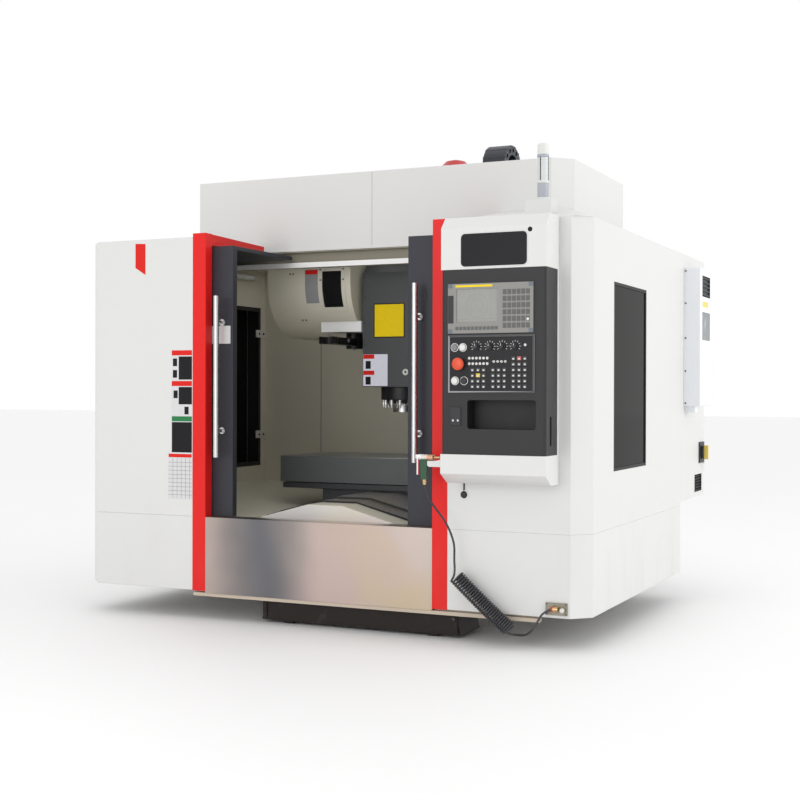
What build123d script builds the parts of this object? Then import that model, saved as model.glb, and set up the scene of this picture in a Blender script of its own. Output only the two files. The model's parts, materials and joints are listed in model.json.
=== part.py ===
from build123d import *
import os
from math import cos, sin, tan, pi, radians

# A vertical machining centre in a sheet-metal enclosure, with both front doors slid open.
# Millimetres. x = 0 is the middle of the door opening, + to the operator's right. y = 0 is the plane
# of the front panels, + to the back. z = 0 is the floor. The model is moved at the very end so that
# its origin lies under the middle of its box.

# Enclosure
half_width = 1400
skirt_bottom = 150
seam_z = 530
panel_top = 1972
body_back = 1786
corner_cut = 82
panel = 20
roof_rise = 133
pillar_inner = 636
pillar_outer = 714
pillar_depth = 60
pillar_top = 1990

# Open-topped guard above the work space
guard_left = -1130
guard_right = 1085
guard_front = 690
guard_back = 1700
guard_top = 2370
guard_corner = 95
guard_sheet = 12

# Doors, each a front leaf and a roof leaf in one folded piece
door_front = 70
leaf = 40
door_left_inner = 515
door_right_inner = 476
door_width = 695
door_top = 1926
door_roof_back = 684
door_roof = 21

# Windows, as (front edge, back edge, bottom, top)
right_window = (412, 1019, 798, 1704)
left_window = (1010, 1617, 712, 1704)

# Castings and axes
base_half = 430
base_bottom = 140
base_top = 480
base_front = 130
column_half = 340
column_front = 1730
column_back = 2300
column_top = 2330
spindle_y = 1060
table_half = 650
table_front = 790
table_back = 1350
table_top = 812
table_thick = 122
slot_count = 5
slot_pitch = 100
slot_neck = 18
head_half = 184
head_front = 900
head_bottom = 1203
head_top = 1900
nose_face = 1062

# Magazine and arm
drum_y = 1090
drum_z = 1787
drum_r = 300
arm_x = -318
pot_count = 16

# Console
console_left = 760
console_right = 1260
console_front = -180
case_bottom = 899
case_top = 1728

# Electrical cabinet
cabinet_left = 420
cabinet_back = 2390
cabinet_bottom = 553
cabinet_sheet = 15
exchanger_face = 1498

# Running gap between pieces that slide or turn
gap = 0.3
door_bottom = seam_z + gap

nodes = {}


def block(x0, x1, y0, y1, z0, z1):
    """A square-edged solid between two corners."""
    middle = Pos((x0 + x1) / 2, (y0 + y1) / 2, (z0 + z1) / 2)
    return middle * Box(x1 - x0, y1 - y0, z1 - z0)


def run_x(outline, x0, x1):
    """An outline of (y, z) points, run along x."""
    face = make_face(Polyline(*[(x0, y, z) for y, z in outline], close=True))
    return extrude(face, x1 - x0, dir=(1, 0, 0))


def run_y(outline, y0, y1):
    """An outline of (x, z) points, run along y."""
    face = make_face(Polyline(*[(x, y0, z) for x, z in outline], close=True))
    return extrude(face, y1 - y0, dir=(0, 1, 0))


def run_z(outline, z0, z1):
    """An outline of (x, y) points, run along z."""
    face = make_face(Polyline(*[(x, y, z0) for x, y in outline], close=True))
    return extrude(face, z1 - z0, dir=(0, 0, 1))


def rod(start, end, radius):
    """A round bar from one point to another."""
    line = Vector(*end) - Vector(*start)
    bar = Cylinder(radius, line.length, align=(Align.CENTER, Align.CENTER, Align.MIN))
    return Plane(origin=start, z_dir=line) * bar


def turned(outline, place, axis):
    """A turned piece: (radius, height) points spun about an axis through a place."""
    face = make_face(Polyline(*[(r, 0, h) for r, h in outline], close=True))
    return Plane(origin=place, z_dir=axis) * revolve(face, Axis.Z)


def flipped(shape):
    """The same piece on the other side of the machine."""
    return mirror(shape, about=Plane.YZ)


# Lower skirt panels: folded sheet round each chamfered front corner
def corner_wall(z0, z1):
    fold = panel * tan(pi / 8)
    outline = [
        (pillar_outer, 0),
        (half_width - corner_cut, 0),
        (half_width, corner_cut),
        (half_width, body_back),
        (half_width - panel, body_back),
        (half_width - panel, corner_cut + fold),
        (half_width - corner_cut - fold, panel),
        (pillar_outer, panel),
    ]
    return run_z(outline, z0, z1)


nodes["skirt_right"] = corner_wall(skirt_bottom, seam_z)
nodes["skirt_left"] = flipped(nodes["skirt_right"])


# Plan of the guard, at its outer faces or inset by a sheet
def guard_outline(inset):
    turn = inset * tan(pi / 8)
    left = guard_left + inset
    right = guard_right - inset
    front = guard_front + inset
    return [
        (left, guard_back - inset),
        (left, front),
        (guard_right - guard_corner - turn, front),
        (right, guard_front + guard_corner + turn),
        (right, guard_back - inset),
    ]


# Upper panels with the side windows cut through
def window_hole(window, x0, x1):
    return block(x0, x1, window[0], window[1], window[2], window[3])


wall_right = corner_wall(seam_z, panel_top)
wall_right -= window_hole(right_window, half_width - 2 * panel, half_width + panel)

# The right-hand roof rises as a hip to the guard, and closes with an end wall beside the pillar
hip_top = panel_top + roof_rise
roof_under = panel_top - panel
side_slope = [(pillar_outer, panel_top), (half_width, panel_top)]
side_slope += [(guard_right, hip_top), (pillar_outer, hip_top)]
front_slope = [(0, panel_top), (guard_front, hip_top), (body_back, hip_top), (body_back, panel_top)]
hip = run_y(side_slope, 0, body_back) & run_x(front_slope, pillar_outer, half_width)
wedge_outline = [(half_width - corner_cut, -panel), (half_width + panel, corner_cut + panel)]
wedge_outline += [(half_width + panel, -panel)]
corner_wedge = run_z(wedge_outline, panel_top - 2 * panel, hip_top)
hip = hip - Pos(0, 0, -panel) * hip - corner_wedge
hip -= run_z(guard_outline(0), seam_z, hip_top + 1)
hip -= block(pillar_outer - 1, guard_right, guard_back, body_back + 1, seam_z, hip_top + 1)
end_slope = [(0, panel_top), (guard_front, hip_top), (guard_front, panel_top)]
end_wall = run_x(end_slope, pillar_outer, pillar_outer + panel)
nodes["enclosure_right"] = wall_right + hip + end_wall

wall_left = flipped(corner_wall(seam_z, panel_top))
wall_left -= window_hole(left_window, -half_width - panel, -half_width + 2 * panel)
flat_outline = [
    (-pillar_outer, 0),
    (-pillar_outer, guard_back),
    (guard_left, guard_back),
    (guard_left, body_back),
    (-half_width, body_back),
    (-half_width, corner_cut),
    (-half_width + corner_cut, 0),
]
flat_roof = run_z(flat_outline, roof_under, panel_top) - run_z(guard_outline(0), roof_under, panel_top)
nodes["enclosure_left"] = wall_left + flat_roof

# Rear sheets each side of the column, with a flange that closes the roof behind the guard
column_gap = 440
rear_inner = half_width - panel
rear_front = body_back - panel
rear_left = block(-rear_inner, -column_gap, rear_front, body_back, skirt_bottom, roof_under)
rear_left += block(guard_left, -column_gap, guard_back, body_back, roof_under, panel_top)
rear_right = block(column_gap, rear_inner, rear_front, body_back, skirt_bottom, roof_under)
rear_right += block(column_gap, guard_right, guard_back, body_back, roof_under, panel_top)
gable_low = roof_under + roof_rise * panel / (half_width - guard_right)
gable = [(guard_right, roof_under), (guard_right, hip_top - panel)]
gable += [(rear_inner, gable_low), (rear_inner, roof_under)]
rear_right += run_y(gable, rear_front, body_back)
nodes["rear_panel"] = [rear_left, rear_right]

# Guard: four walls with one cut front corner, open above and open behind for the column
guard = run_z(guard_outline(0), roof_under, guard_top)
guard -= run_z(guard_outline(guard_sheet), roof_under, guard_top)
guard_slot = (-360, 475)
guard_wall = guard_back - 2 * guard_sheet
guard -= block(*guard_slot, guard_wall, guard_back + 1, roof_under, guard_top)
nodes["top_guard"] = guard

# Red pillars, with a tapering band that caps the inner edge of each roof
band_outline = [(pillar_depth, 1930), (pillar_depth, 1989), (588, 1976), (588, 1947)]
band = run_x(band_outline, pillar_inner + 4, pillar_outer)
pillar = block(pillar_inner, pillar_outer, 0, pillar_depth, skirt_bottom - 1, pillar_top) + band
nodes["pillar_right"] = pillar
nodes["pillar_left"] = flipped(pillar)

# Stainless apron under the doors, folded back at its top and bottom
apron_sheet = 6
apron_bottom = 140
sill_depth = 72
apron_outline = [
    (0, apron_bottom),
    (0, seam_z),
    (sill_depth, seam_z),
    (sill_depth, seam_z - apron_sheet),
    (apron_sheet, seam_z - apron_sheet),
    (apron_sheet, apron_bottom + apron_sheet),
    (40, apron_bottom + apron_sheet),
    (40, apron_bottom),
]
nodes["apron"] = run_x(apron_outline, -pillar_inner, pillar_inner)

# Door rails: a folded header across the opening and a guide under the doors
liner_x = 1290
header_back = guard_front + 38
header_outline = [
    (guard_front, 1862),
    (guard_front, 1892),
    (header_back - 6, 1892),
    (header_back - 6, 1946),
    (guard_front, 1946),
    (guard_front, roof_under),
    (header_back, roof_under),
    (header_back, 1862),
]
header = run_x(header_outline, -liner_x, liner_x)
guide = block(-liner_x, liner_x, sill_depth, door_front + leaf, 500, seam_z)
nodes["door_rail"] = [header, guide]


# Doors: leaf with a window, and a roof leaf that travels under the guard
def door(side, inner_edge):
    inner = side * inner_edge
    outer = side * (inner_edge + door_width)
    x0 = min(inner, outer)
    x1 = max(inner, outer)
    body = block(x0, x1, door_front, door_front + leaf, door_bottom, door_top)
    body += block(x0, x1, door_front, door_roof_back, door_top - door_roof, door_top)
    stile = 150
    hole = (x0 + stile, x1 - stile, 870, 1760)
    body -= block(hole[0], hole[1], door_front - 1, door_front + leaf + 1, hole[2], hole[3])
    pane_y = door_front + leaf / 2
    pane = block(hole[0], hole[1], pane_y - 4, pane_y + 4, hole[2], hole[3])
    return body, pane


# Handles: a vertical tube on two stand-offs
def door_handle(x, bottom, top, posts):
    tube_r = 15
    tube_y = 8
    bar = rod((x, tube_y, bottom), (x, tube_y, top), tube_r)
    for z in posts:
        bar += rod((x, tube_y, z), (x, door_front, z), 9)
        bar += rod((x, door_front - 8, z), (x, door_front, z), 17)
    return bar


nodes["door_left"], nodes["door_left_window"] = door(-1, door_left_inner)
nodes["door_right"], nodes["door_right_window"] = door(1, door_right_inner)
nodes["door_left_handle"] = door_handle(-576, 838, 1665, (973, 1531))
nodes["door_right_handle"] = door_handle(540, 838, 1694, (975, 1537))

# Side windows: one pane each, set flush in the panel
pane_inset = 6
pane = 8
nodes["window_right"] = window_hole(right_window, half_width - pane_inset - pane, half_width - pane_inset)
nodes["window_left"] = window_hole(left_window, -half_width + pane_inset, -half_width + pane_inset + pane)

# Inner lining: side walls with window reveals, back wall with the head slot, sloping chip floors
liner = 10
liner_front = 115
liner_bottom = 540
floor_inner = 470
floor_low = 520
floor_high = 610


def side_wall(window, side):
    x0, x1 = sorted((side * liner_x, side * (liner_x + liner)))
    reveal_0, reveal_1 = sorted((side * (liner_x + liner), side * (half_width - panel)))
    wall = block(x0, x1, liner_front, guard_back - liner, liner_bottom, roof_under)
    wall -= window_hole(window, x0 - 1, x1 + 1)
    frame = block(
        reveal_0, reveal_1, window[0] - liner, window[1] + liner, window[2] - liner, window[3] + liner
    )
    return wall + (frame - window_hole(window, reveal_0 - 1, reveal_1 + 1))


back_wall = block(-liner_x - liner, liner_x + liner, guard_back - liner, guard_back, liner_bottom, roof_under)
back_wall -= block(-200, 200, guard_back - 2 * liner, guard_back + 1, 860, panel_top)
back_wall -= block(-262, 262, guard_back - 2 * liner, guard_back + 1, 500, 640)
back_wall -= block(-490, -330, guard_back - 2 * liner, guard_back + 1, 1590, 1960)
slope = [
    (floor_inner, floor_low),
    (liner_x, floor_high),
    (liner_x, floor_high - liner),
    (floor_inner, floor_low - liner),
]
floor_right = run_y(slope, liner_front, guard_back - liner)


# Telescopic roofs over the front ways: each next sheet fits over the last
def way_roof(half, peak, eave, foot, y0, y1):
    sheet = 5
    ridge = 100
    outer = [(-half, foot), (-half, eave), (-ridge, peak), (ridge, peak), (half, eave), (half, foot)]
    drop = sheet + 1
    inner = [
        (half - sheet, foot),
        (half - sheet, eave - drop + 2),
        (ridge - 1, peak - sheet),
        (1 - ridge, peak - sheet),
        (sheet - half, eave - drop + 2),
        (sheet - half, foot),
    ]
    return run_y(outer + inner, y0, y1)


cover_step = 9
cover_length = 400
cover_half = 420
cover_peak = 606
cover_eave = 520
saddle_front = 830
saddle_back = 1290
fixed_roof = way_roof(cover_half, cover_peak, cover_eave, base_top, liner_front, liner_front + cover_length)
nodes["inner_liner"] = [
    side_wall(left_window, -1),
    side_wall(right_window, 1),
    back_wall,
    floor_right,
    flipped(floor_right),
    fixed_roof,
]
middle_start = (liner_front + saddle_front - cover_length) / 2
nodes["way_cover_middle"] = way_roof(
    cover_half + cover_step,
    cover_peak + cover_step,
    cover_eave + cover_step,
    base_top + gap,
    middle_start,
    middle_start + cover_length,
)
nodes["way_cover_front"] = way_roof(
    cover_half + 2 * cover_step,
    cover_peak + 2 * cover_step,
    cover_eave + 2 * cover_step,
    base_top + 10,
    saddle_front - cover_length,
    saddle_front,
)
nodes["way_cover_rear"] = way_roof(250, 625, 570, 524, saddle_back, saddle_back + 700)

# Base casting: ribbed bed, guide rails for the saddle, and arms that carry the enclosure
bed_outline = [(base_front, base_bottom), (base_front, 400), (210, base_top)]
bed_outline += [(column_back, base_top), (column_back, base_bottom)]
bed = run_x(bed_outline, -base_half, base_half)
for side in (-1, 1):
    for rib_y in (420, 840, 1260, 1680):
        x0, x1 = sorted((side * (base_half - 30), side * (base_half + 1)))
        bed -= block(x0, x1, rib_y + 40, rib_y + 340, 200, 420)
    rail_x = side * 250
    bed += block(rail_x - 17, rail_x + 17, 520, 1680, base_top, floor_low)
for arm_y in (500, 1500):
    bed += block(-rear_inner, rear_inner, arm_y - 40, arm_y + 40, 150, 230)
nodes["base_casting"] = bed

# Column: tapered casting with an arch at its foot and two vertical rails
front_view = [(-420, base_top), (-column_half, 760), (-column_half, column_top), (column_half, column_top)]
front_view += [(column_half, 760), (420, base_top)]
side_view = [(column_front, base_top), (column_front, column_top), (2130, column_top), (column_back, 1100)]
side_view += [(column_back, base_top)]
column = run_y(front_view, column_front, column_back) & run_x(side_view, -430, 430)
arch_half = 270
arch_top = 700
column -= block(-arch_half, arch_half, column_front - 1, column_back + 1, base_top, arch_top)
for side in (-1, 1):
    rail_x = side * 150
    column += block(rail_x - 20, rail_x + 20, guard_back, column_front, 900, 2300)
nodes["column"] = column

# Levelling feet: pad, screw and lock nut in one turned outline
foot_outline = [(0, 0), (70, 0), (70, 22), (40, 32), (22, 32), (22, 105), (45, 105)]
foot_outline += [(45, base_bottom), (0, base_bottom)]
feet = []
for foot_x in (-380, 380):
    for foot_y in (420, 1250, 2120):
        feet.append(turned(foot_outline, (foot_x, foot_y, 0), (0, 0, 1)))
nodes["levelling_feet"] = feet

# Coolant tank that slides in under the apron, on two runners
tank_view = [(-345, 15), (-345, 24), (-308, 135), (716, 135), (750, 24), (750, 15)]
tank = run_y(tank_view, 85, 330)
for runner_x in (-200, 600):
    tank += block(runner_x - 25, runner_x + 25, 100, 315, 0, 15)
for bracket_x in (716, -338):
    tank += block(bracket_x, bracket_x + 22, 79, 85, 30, 110)
nodes["coolant_tank"] = tank

# Saddle: a centre block on the bed rails and a long top with the table rails
saddle = block(-400, 400, saddle_front, saddle_back, floor_low + 0.5, 632)
saddle += block(-640, 640, 800, 1330, 632, 664)
saddle -= block(-300, 300, 860, 1260, floor_low, 560)
for rail_y in (960, 1170):
    saddle += block(-640, 640, rail_y - 15, rail_y + 15, 664, table_top - table_thick - 0.5)
nodes["saddle"] = saddle

# Table: one run of its section, with T-slots, a coolant gutter at each side and a front lip
table_bottom = table_top - table_thick
table = block(-table_half, table_half, table_front, table_back, table_bottom, table_top)
table += block(-table_half, table_half, table_front, table_front + 8, 668, table_bottom)
slot_floor = table_top - 34
slot_ledge = table_top - 20
slot_end = table_half + 1
gutter_end = table_half - 20
gutter_floor = table_top - 25
for k in range(slot_count):
    slot_y = (table_front + table_back) / 2 + slot_pitch * (k - (slot_count - 1) / 2)
    half_neck = slot_neck / 2
    table -= block(-slot_end, slot_end, slot_y - half_neck, slot_y + half_neck, slot_floor, table_top + 1)
    table -= block(-slot_end, slot_end, slot_y - 15, slot_y + 15, slot_floor, slot_ledge)
for gutter_y in (table_front + 18, table_back - 18):
    table -= block(-gutter_end, gutter_end, gutter_y - 10, gutter_y + 10, gutter_floor, table_top + 1)
nodes["table"] = table

# Spindle head: casting with a raked underside, rear shoes on the column rails, nose and motor
shoe_back = guard_back - gap
head_side = [
    (head_front, head_bottom),
    (head_front, head_top - 60),
    (head_front + 60, head_top),
    (1640, head_top),
    (1640, 1400),
    (1500, 1330),
    (1240, head_bottom + 40),
    (1240, head_bottom),
]
head = run_x(head_side, -head_half, head_half)
for side in (-1, 1):
    x0, x1 = sorted((side * 110, side * head_half))
    head += block(x0, x1, 1640, shoe_back, 1420, 1840)
nose_low = 1110
nose_outline = [(0, nose_low), (84, nose_low), (84, 1124), (112, 1124), (112, 1150), (95, 1160)]
nose_outline += [(95, head_bottom), (0, head_bottom)]
head += turned(nose_outline, (0, spindle_y, 0), (0, 0, 1))
for k in range(6):
    angle = 2 * pi * (k + 0.5) / 6
    place = (98 * cos(angle), spindle_y + 98 * sin(angle))
    tip = (88 * cos(angle), spindle_y + 88 * sin(angle))
    head += rod((place[0], place[1], 1130), (tip[0], tip[1], 1088), 8)
spindle_r = 44
head -= rod((0, spindle_y, 1100), (0, spindle_y, 1420), spindle_r + 0.05)
# The arm that carries the moving end of the cable carrier
carrier_x = (322, 457)
carrier_y = 1580
carrier_r = 150
carrier_thick = 55
leg_front = carrier_y - carrier_r
head += block(100, carrier_x[1], leg_front, leg_front + carrier_thick, head_top, head_top + 60)
motor = block(-95, 95, spindle_y - 95, spindle_y + 95, head_top, 2200)
motor = fillet(motor.edges().filter_by(Axis.Z), 25)
motor += rod((0, spindle_y, 2200), (0, spindle_y, 2290), 85)
nodes["spindle_head"] = [head, motor]

# Spindle: flanged nose with a 7:24 taper socket
socket_r = 22.2
socket_depth = 65
socket_tip = socket_r - socket_depth * 7 / 48
spindle_outline = [
    (socket_r, nose_face),
    (64, nose_face),
    (64, nose_low - gap),
    (spindle_r, nose_low - gap),
    (spindle_r, 1400),
    (0, 1400),
    (0, nose_face + socket_depth),
    (socket_tip, nose_face + socket_depth),
]
nodes["spindle"] = turned(spindle_outline, (0, spindle_y, 0), (0, 0, 1))

# Vertical-axis motor on the column, with a domed cap
motor_place = (-20, 1850, column_top)
motor_outline = [(0, 20), (78, 20), (78, 215), (92, 215), (92, 240), (60, 272), (0, 286)]
z_motor = turned(motor_outline, motor_place, (0, 0, 1))
z_motor += block(-120, 80, 1750, 1950, column_top, column_top + 20)
nodes["z_motor"] = z_motor

# Cable carrier: a chain of links bent over into a loop, from the column down to the head
loop_z = 2470


def carrier_outline(r):
    """The line of the carrier at one radius: front leg, loop and rear leg."""
    front = (0, carrier_y - r, head_top + 60)
    top_front = (0, carrier_y - r, loop_z)
    top = (0, carrier_y, loop_z + r)
    top_back = (0, carrier_y + r, loop_z)
    back = (0, carrier_y + r, 2000)
    return Line(front, top_front), ThreePointArc(top_front, top, top_back), Line(top_back, back)


outer_line = carrier_outline(carrier_r)
inner_line = carrier_outline(carrier_r - carrier_thick)
ends = [Line(outer_line[0] @ 0, inner_line[0] @ 0), Line(outer_line[2] @ 1, inner_line[2] @ 1)]
carrier_face = make_face(Wire([edge for edge in (*outer_line, *inner_line, *ends)]))
carrier = Pos(carrier_x[0], 0, 0) * extrude(carrier_face, carrier_x[1] - carrier_x[0], dir=(1, 0, 0))
link_r = carrier_r - carrier_thick / 2
for k in range(7):
    angle = pi * (k + 0.5) / 7
    hole_y = carrier_y - link_r * cos(angle)
    hole_z = loop_z + link_r * sin(angle)
    carrier -= rod((carrier_x[0] - 1, hole_y, hole_z), (carrier_x[1] + 1, hole_y, hole_z), 14)
for side in (-1, 1):
    for k in range(4):
        hole_z = loop_z - 55 - 62 * k
        hole_y = carrier_y + side * link_r
        carrier -= rod((carrier_x[0] - 1, hole_y, hole_z), (carrier_x[1] + 1, hole_y, hole_z), 14)
nodes["cable_carrier"] = carrier
nodes["column"] += block(column_half, carrier_x[1], column_front, column_front + 60, 1990, 2080)

# Tool changer: gear case on the column's side, with the arm housing that shows below the cover
case_z = (1600, 1950)
case_left = -480
housing_left = -445
housing_back = spindle_y + 60
housing_z = (1512, 1573)
gear_case = block(case_left, -column_half, 1000, rear_front - 2, case_z[0], case_z[1])
gear_case += block(housing_left, -190, 890, housing_back, housing_z[0], housing_z[1])
gear_case += block(housing_left, -column_half, 1000, housing_back, housing_z[1], case_z[0])
nodes["atc_gearbox"] = gear_case

# Magazine cover: drum-fronted sheet with two end walls, open behind, the right one cut round the gear case
cover_left = -735
cover_right = -208
cover_sheet = 8


def drum_outline(r):
    """Front wrap at one radius: straight above the drum's middle, round below it."""
    top = (cover_left, drum_y - r, 2150)
    start = (cover_left, drum_y - r, drum_z)
    low = (cover_left, drum_y - r * cos(pi / 4), drum_z - r * sin(pi / 4))
    bottom = (cover_left, drum_y, drum_z - r)
    end = (cover_left, 1380, drum_z - r)
    return Line(top, start), ThreePointArc(start, low, bottom), Line(bottom, end)


def drum_face(r, back, top):
    front = drum_outline(r)
    corner = (cover_left, back, top)
    lines = [*front, Line(front[2] @ 1, corner), Line(corner, front[0] @ 0)]
    return make_face(Wire(lines))


wrap_outer = extrude(drum_face(drum_r, 1380, 2150), cover_right - cover_left, dir=(1, 0, 0))
cover_inside = cover_right - cover_left - 2 * cover_sheet
wrap_inner = extrude(drum_face(drum_r - cover_sheet, 1380, 2150), cover_inside, dir=(1, 0, 0))
mag_cover = wrap_outer - Pos(cover_sheet, 0, 0) * wrap_inner
sight = (-385, -265, 1645, 1856)
sight_floor = extrude(drum_face(drum_r - 4, 1380, 2150), cover_right - cover_left, dir=(1, 0, 0))
sight_block = block(sight[0], sight[1], drum_y - drum_r - 1, drum_y - 200, sight[2], sight[3])
mag_cover -= sight_block - sight_floor
mag_cover -= block(housing_left, cover_right + 1, 880, housing_back, 1480, housing_z[1])
mag_cover -= block(case_left, cover_right + 1, 1200, 1400, case_z[0], 2160)
nodes["magazine_cover"] = mag_cover

# Magazine disc on a side shaft of the gear case, with a ring of capped tool pots
disc = rod((-530, drum_y, drum_z), (-500, drum_y, drum_z), 255)
disc += rod((-500, drum_y, drum_z), (case_left - gap, drum_y, drum_z), 70)
pot_ring = 212
for k in range(pot_count):
    angle = 2 * pi * k / pot_count
    pot_y = drum_y + pot_ring * cos(angle)
    pot_z = drum_z + pot_ring * sin(angle)
    disc += rod((-640, pot_y, pot_z), (-530, pot_y, pot_z), 34)
nodes["magazine_disc"] = disc

# Tool-change arm, parked along y under its housing, with a hooked grip at each end
arm_low = 1440
arm_high = 1480
arm_reach = 318
arm = block(arm_x - 34, arm_x + 34, spindle_y - arm_reach, spindle_y + arm_reach, arm_low, arm_high)
for side in (-1, 1):
    grip_y = spindle_y + side * arm_reach
    arm += rod((arm_x, grip_y, arm_low), (arm_x, grip_y, arm_high), 52)
for side in (-1, 1):
    grip_y = spindle_y + side * arm_reach
    arm -= rod((arm_x, grip_y, arm_low - 1), (arm_x, grip_y, arm_high + 1), 32)
    mouth_y0, mouth_y1 = sorted((grip_y, grip_y + side * 60))
    arm -= block(arm_x - 26, arm_x + 26, mouth_y0, mouth_y1, arm_low - 1, arm_high + 1)
arm += rod((arm_x, spindle_y, arm_low - 18), (arm_x, spindle_y, housing_z[0] - gap), 48)
nodes["change_arm"] = arm

# Electrical cabinet: open-backed box with a mounting plate and drive units inside
cabinet = block(cabinet_left, half_width, body_back, cabinet_back, cabinet_bottom, panel_top)
cabinet -= block(
    cabinet_left + cabinet_sheet,
    half_width - cabinet_sheet,
    body_back + cabinet_sheet,
    cabinet_back + 1,
    cabinet_bottom + cabinet_sheet,
    panel_top - cabinet_sheet,
)
plate_y = body_back + cabinet_sheet
for k in range(5):
    unit_x = cabinet_left + 120 + 150 * k
    cabinet += block(unit_x, unit_x + 110, plate_y, plate_y + 220, 1320, 1700)
cabinet += block(cabinet_left + 120, half_width - 130, plate_y, plate_y + 90, 760, 1000)
# Vent with slanting blades in the side wall, and the plate of the main switch
vent = (2155, 2349, 582, 685)
cabinet -= block(half_width - cabinet_sheet - 1, half_width + 1, vent[0], vent[1], vent[2], vent[3])
for k in range(6):
    blade_z = vent[2] + 4 + k * 17
    blade = [(half_width - cabinet_sheet, blade_z + 9), (half_width - 3, blade_z)]
    blade += [(half_width - 3, blade_z + 3), (half_width - cabinet_sheet, blade_z + 12)]
    cabinet += run_y(blade, vent[0], vent[1])
switch_y = 2325
switch_z = 814
cabinet += block(half_width, half_width + 8, switch_y - 63, switch_y + 63, switch_z - 63, switch_z + 63)

# Rear door of the cabinet, hinged at the outer edge
door_gap = 1
door_sheet = 20
cabinet_door = block(
    cabinet_left + 2,
    half_width - 2,
    cabinet_back + door_gap,
    cabinet_back + door_gap + door_sheet,
    cabinet_bottom + 2,
    panel_top - 2,
)
latch_x = cabinet_left + 60
latch_y = (cabinet_back + 14, cabinet_back + 30)
for latch_z in (900, 1262, 1620):
    cabinet_door -= block(latch_x - 18, latch_x + 18, latch_y[0], latch_y[1], latch_z - 60, latch_z + 60)
# Hinges: the door's barrel carries a pin that turns in two barrels on a leaf fixed to the cabinet's side
hinge_x = half_width - 2
hinge_y = cabinet_back + door_gap + door_sheet
barrel_r = 7
barrel_half = 15
hinge_pin_r = 3.5
leaf_sheet = 3


def hinge_bar(z0, z1, radius):
    return rod((hinge_x, hinge_y, z0), (hinge_x, hinge_y, z1), radius)


for hinge_z in (760, 1262, 1770):
    low_end = (hinge_z - 3 * barrel_half, hinge_z - barrel_half - gap)
    high_end = (hinge_z + barrel_half + gap, hinge_z + 3 * barrel_half)
    for z0, z1 in (low_end, high_end):
        cabinet_door -= hinge_bar(z0 - gap, z1 + gap, barrel_r + gap)
        leaf_plate = block(half_width, half_width + leaf_sheet, cabinet_back - 40, hinge_y, z0, z1)
        cabinet += leaf_plate + hinge_bar(z0, z1, barrel_r) - hinge_bar(z0 - 1, z1 + 1, hinge_pin_r + 0.05)
    cabinet_door += hinge_bar(hinge_z - barrel_half, hinge_z + barrel_half, barrel_r)
    cabinet_door += hinge_bar(low_end[0], high_end[1], hinge_pin_r)
nodes["cabinet"] = cabinet
nodes["cabinet_door"] = cabinet_door

# Main switch: round rotor with a grip bar
rotor_face = half_width + 22
grip_half = 42
switch_handle = rod((half_width + 8 + gap, switch_y, switch_z), (rotor_face, switch_y, switch_z), 40)
grip_z = (switch_z - grip_half, switch_z + grip_half)
switch_handle += block(rotor_face, rotor_face + 24, switch_y - 11, switch_y + 11, grip_z[0], grip_z[1])
nodes["switch_handle"] = switch_handle

# Heat exchanger on the cabinet's side, with an outlet louvre and an inlet grille
exchanger = block(half_width, exchanger_face, 1865, 2150, 1098, 1893)
exchanger = chamfer(exchanger.faces().sort_by(Axis.X)[-1].edges(), 6)
exchanger -= block(exchanger_face - 10, exchanger_face + 1, 1900, 2110, 1730, 1850)
for k in range(5):
    exchanger += block(exchanger_face - 10, exchanger_face - 2, 1900, 2110, 1738 + 24 * k, 1746 + 24 * k)
exchanger -= block(exchanger_face - 8, exchanger_face + 1, 1900, 2110, 1480, 1640)
for k in range(7):
    exchanger += block(exchanger_face - 8, exchanger_face - 2, 1908 + 29 * k, 1920 + 29 * k, 1480, 1640)
exchanger += block(half_width, half_width + 60, 1890, 1960, 1060, 1098)
nodes["heat_exchanger"] = exchanger

# Console: white folded housing with a hood and a tray, and the bracket for the air gun
hood_back = -20
shell_side = [
    (0, 757),
    (-111, 757),
    (-188, 803),
    (-188, 892),
    (hood_back, 892),
    (hood_back, case_top + 2),
    (-184, case_top + 2),
    (-184, 1920),
    (-135, panel_top),
    (0, panel_top),
]
shell = run_x(shell_side, console_left - 3, console_right + 3)
tongue_top = 856
tongue = [(760, 828), (760, 868), (700, tongue_top), (664, tongue_top), (664, 834), (672, 828)]
shell += run_y(tongue, -125, -95)
nodes["console_shell"] = shell

# Dark operator case that fills the housing, with an open pocket near its foot
case = block(console_left, console_right, console_front, hood_back, case_bottom - 7, case_top + 2)
case = chamfer(case.edges().filter_by(Axis.Z).sort_by(Axis.Y)[:2], 10)
pocket = block(887, 1214, console_front - 1, console_front + 90, 1008, 1139)
pocket = fillet(pocket.edges().filter_by(Axis.Y), 12)
case -= pocket
case -= block(console_right - 6, console_right + 1, -124, -99, 935, 1065)

# Display unit: framed screen at the left, key field at the right, a row of keys below
unit_front = console_front - 8
display = block(794, 1203, unit_front, console_front, 1440, 1665)
display -= block(836, 1032, unit_front - 1, unit_front + 4, 1490, 1640)
for k in range(11):
    key_x = 832 + 19 * k
    display += block(key_x, key_x + 14, unit_front - 2, unit_front, 1456, 1470)
for row in range(6):
    for column_k in range(6):
        key_x = 1060 + 22 * column_k
        key_z = 1462 + 30 * row
        display += block(key_x, key_x + 17, unit_front - 2, unit_front, key_z, key_z + 22)
nodes["display_unit"] = display

# Operator panel: framed plate with key fields, the controls stand on it as pieces of their own
panel_front = unit_front
operator = block(796, 1208, panel_front, console_front, 1172, 1432)
operator -= block(803, 1201, panel_front - 1, panel_front + 3, 1179, 1425)
face_y = panel_front + 3
key_groups = ((905, 4, 3), (1004, 4, 3), (1101, 6, 3))
for group_x, rows, across in key_groups:
    for row in range(rows):
        for k in range(across):
            key_x = group_x + 27 * k
            key_z = 1192 + 25 * row
            operator += block(key_x, key_x + 19, face_y - 3, face_y, key_z, key_z + 17)


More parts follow.
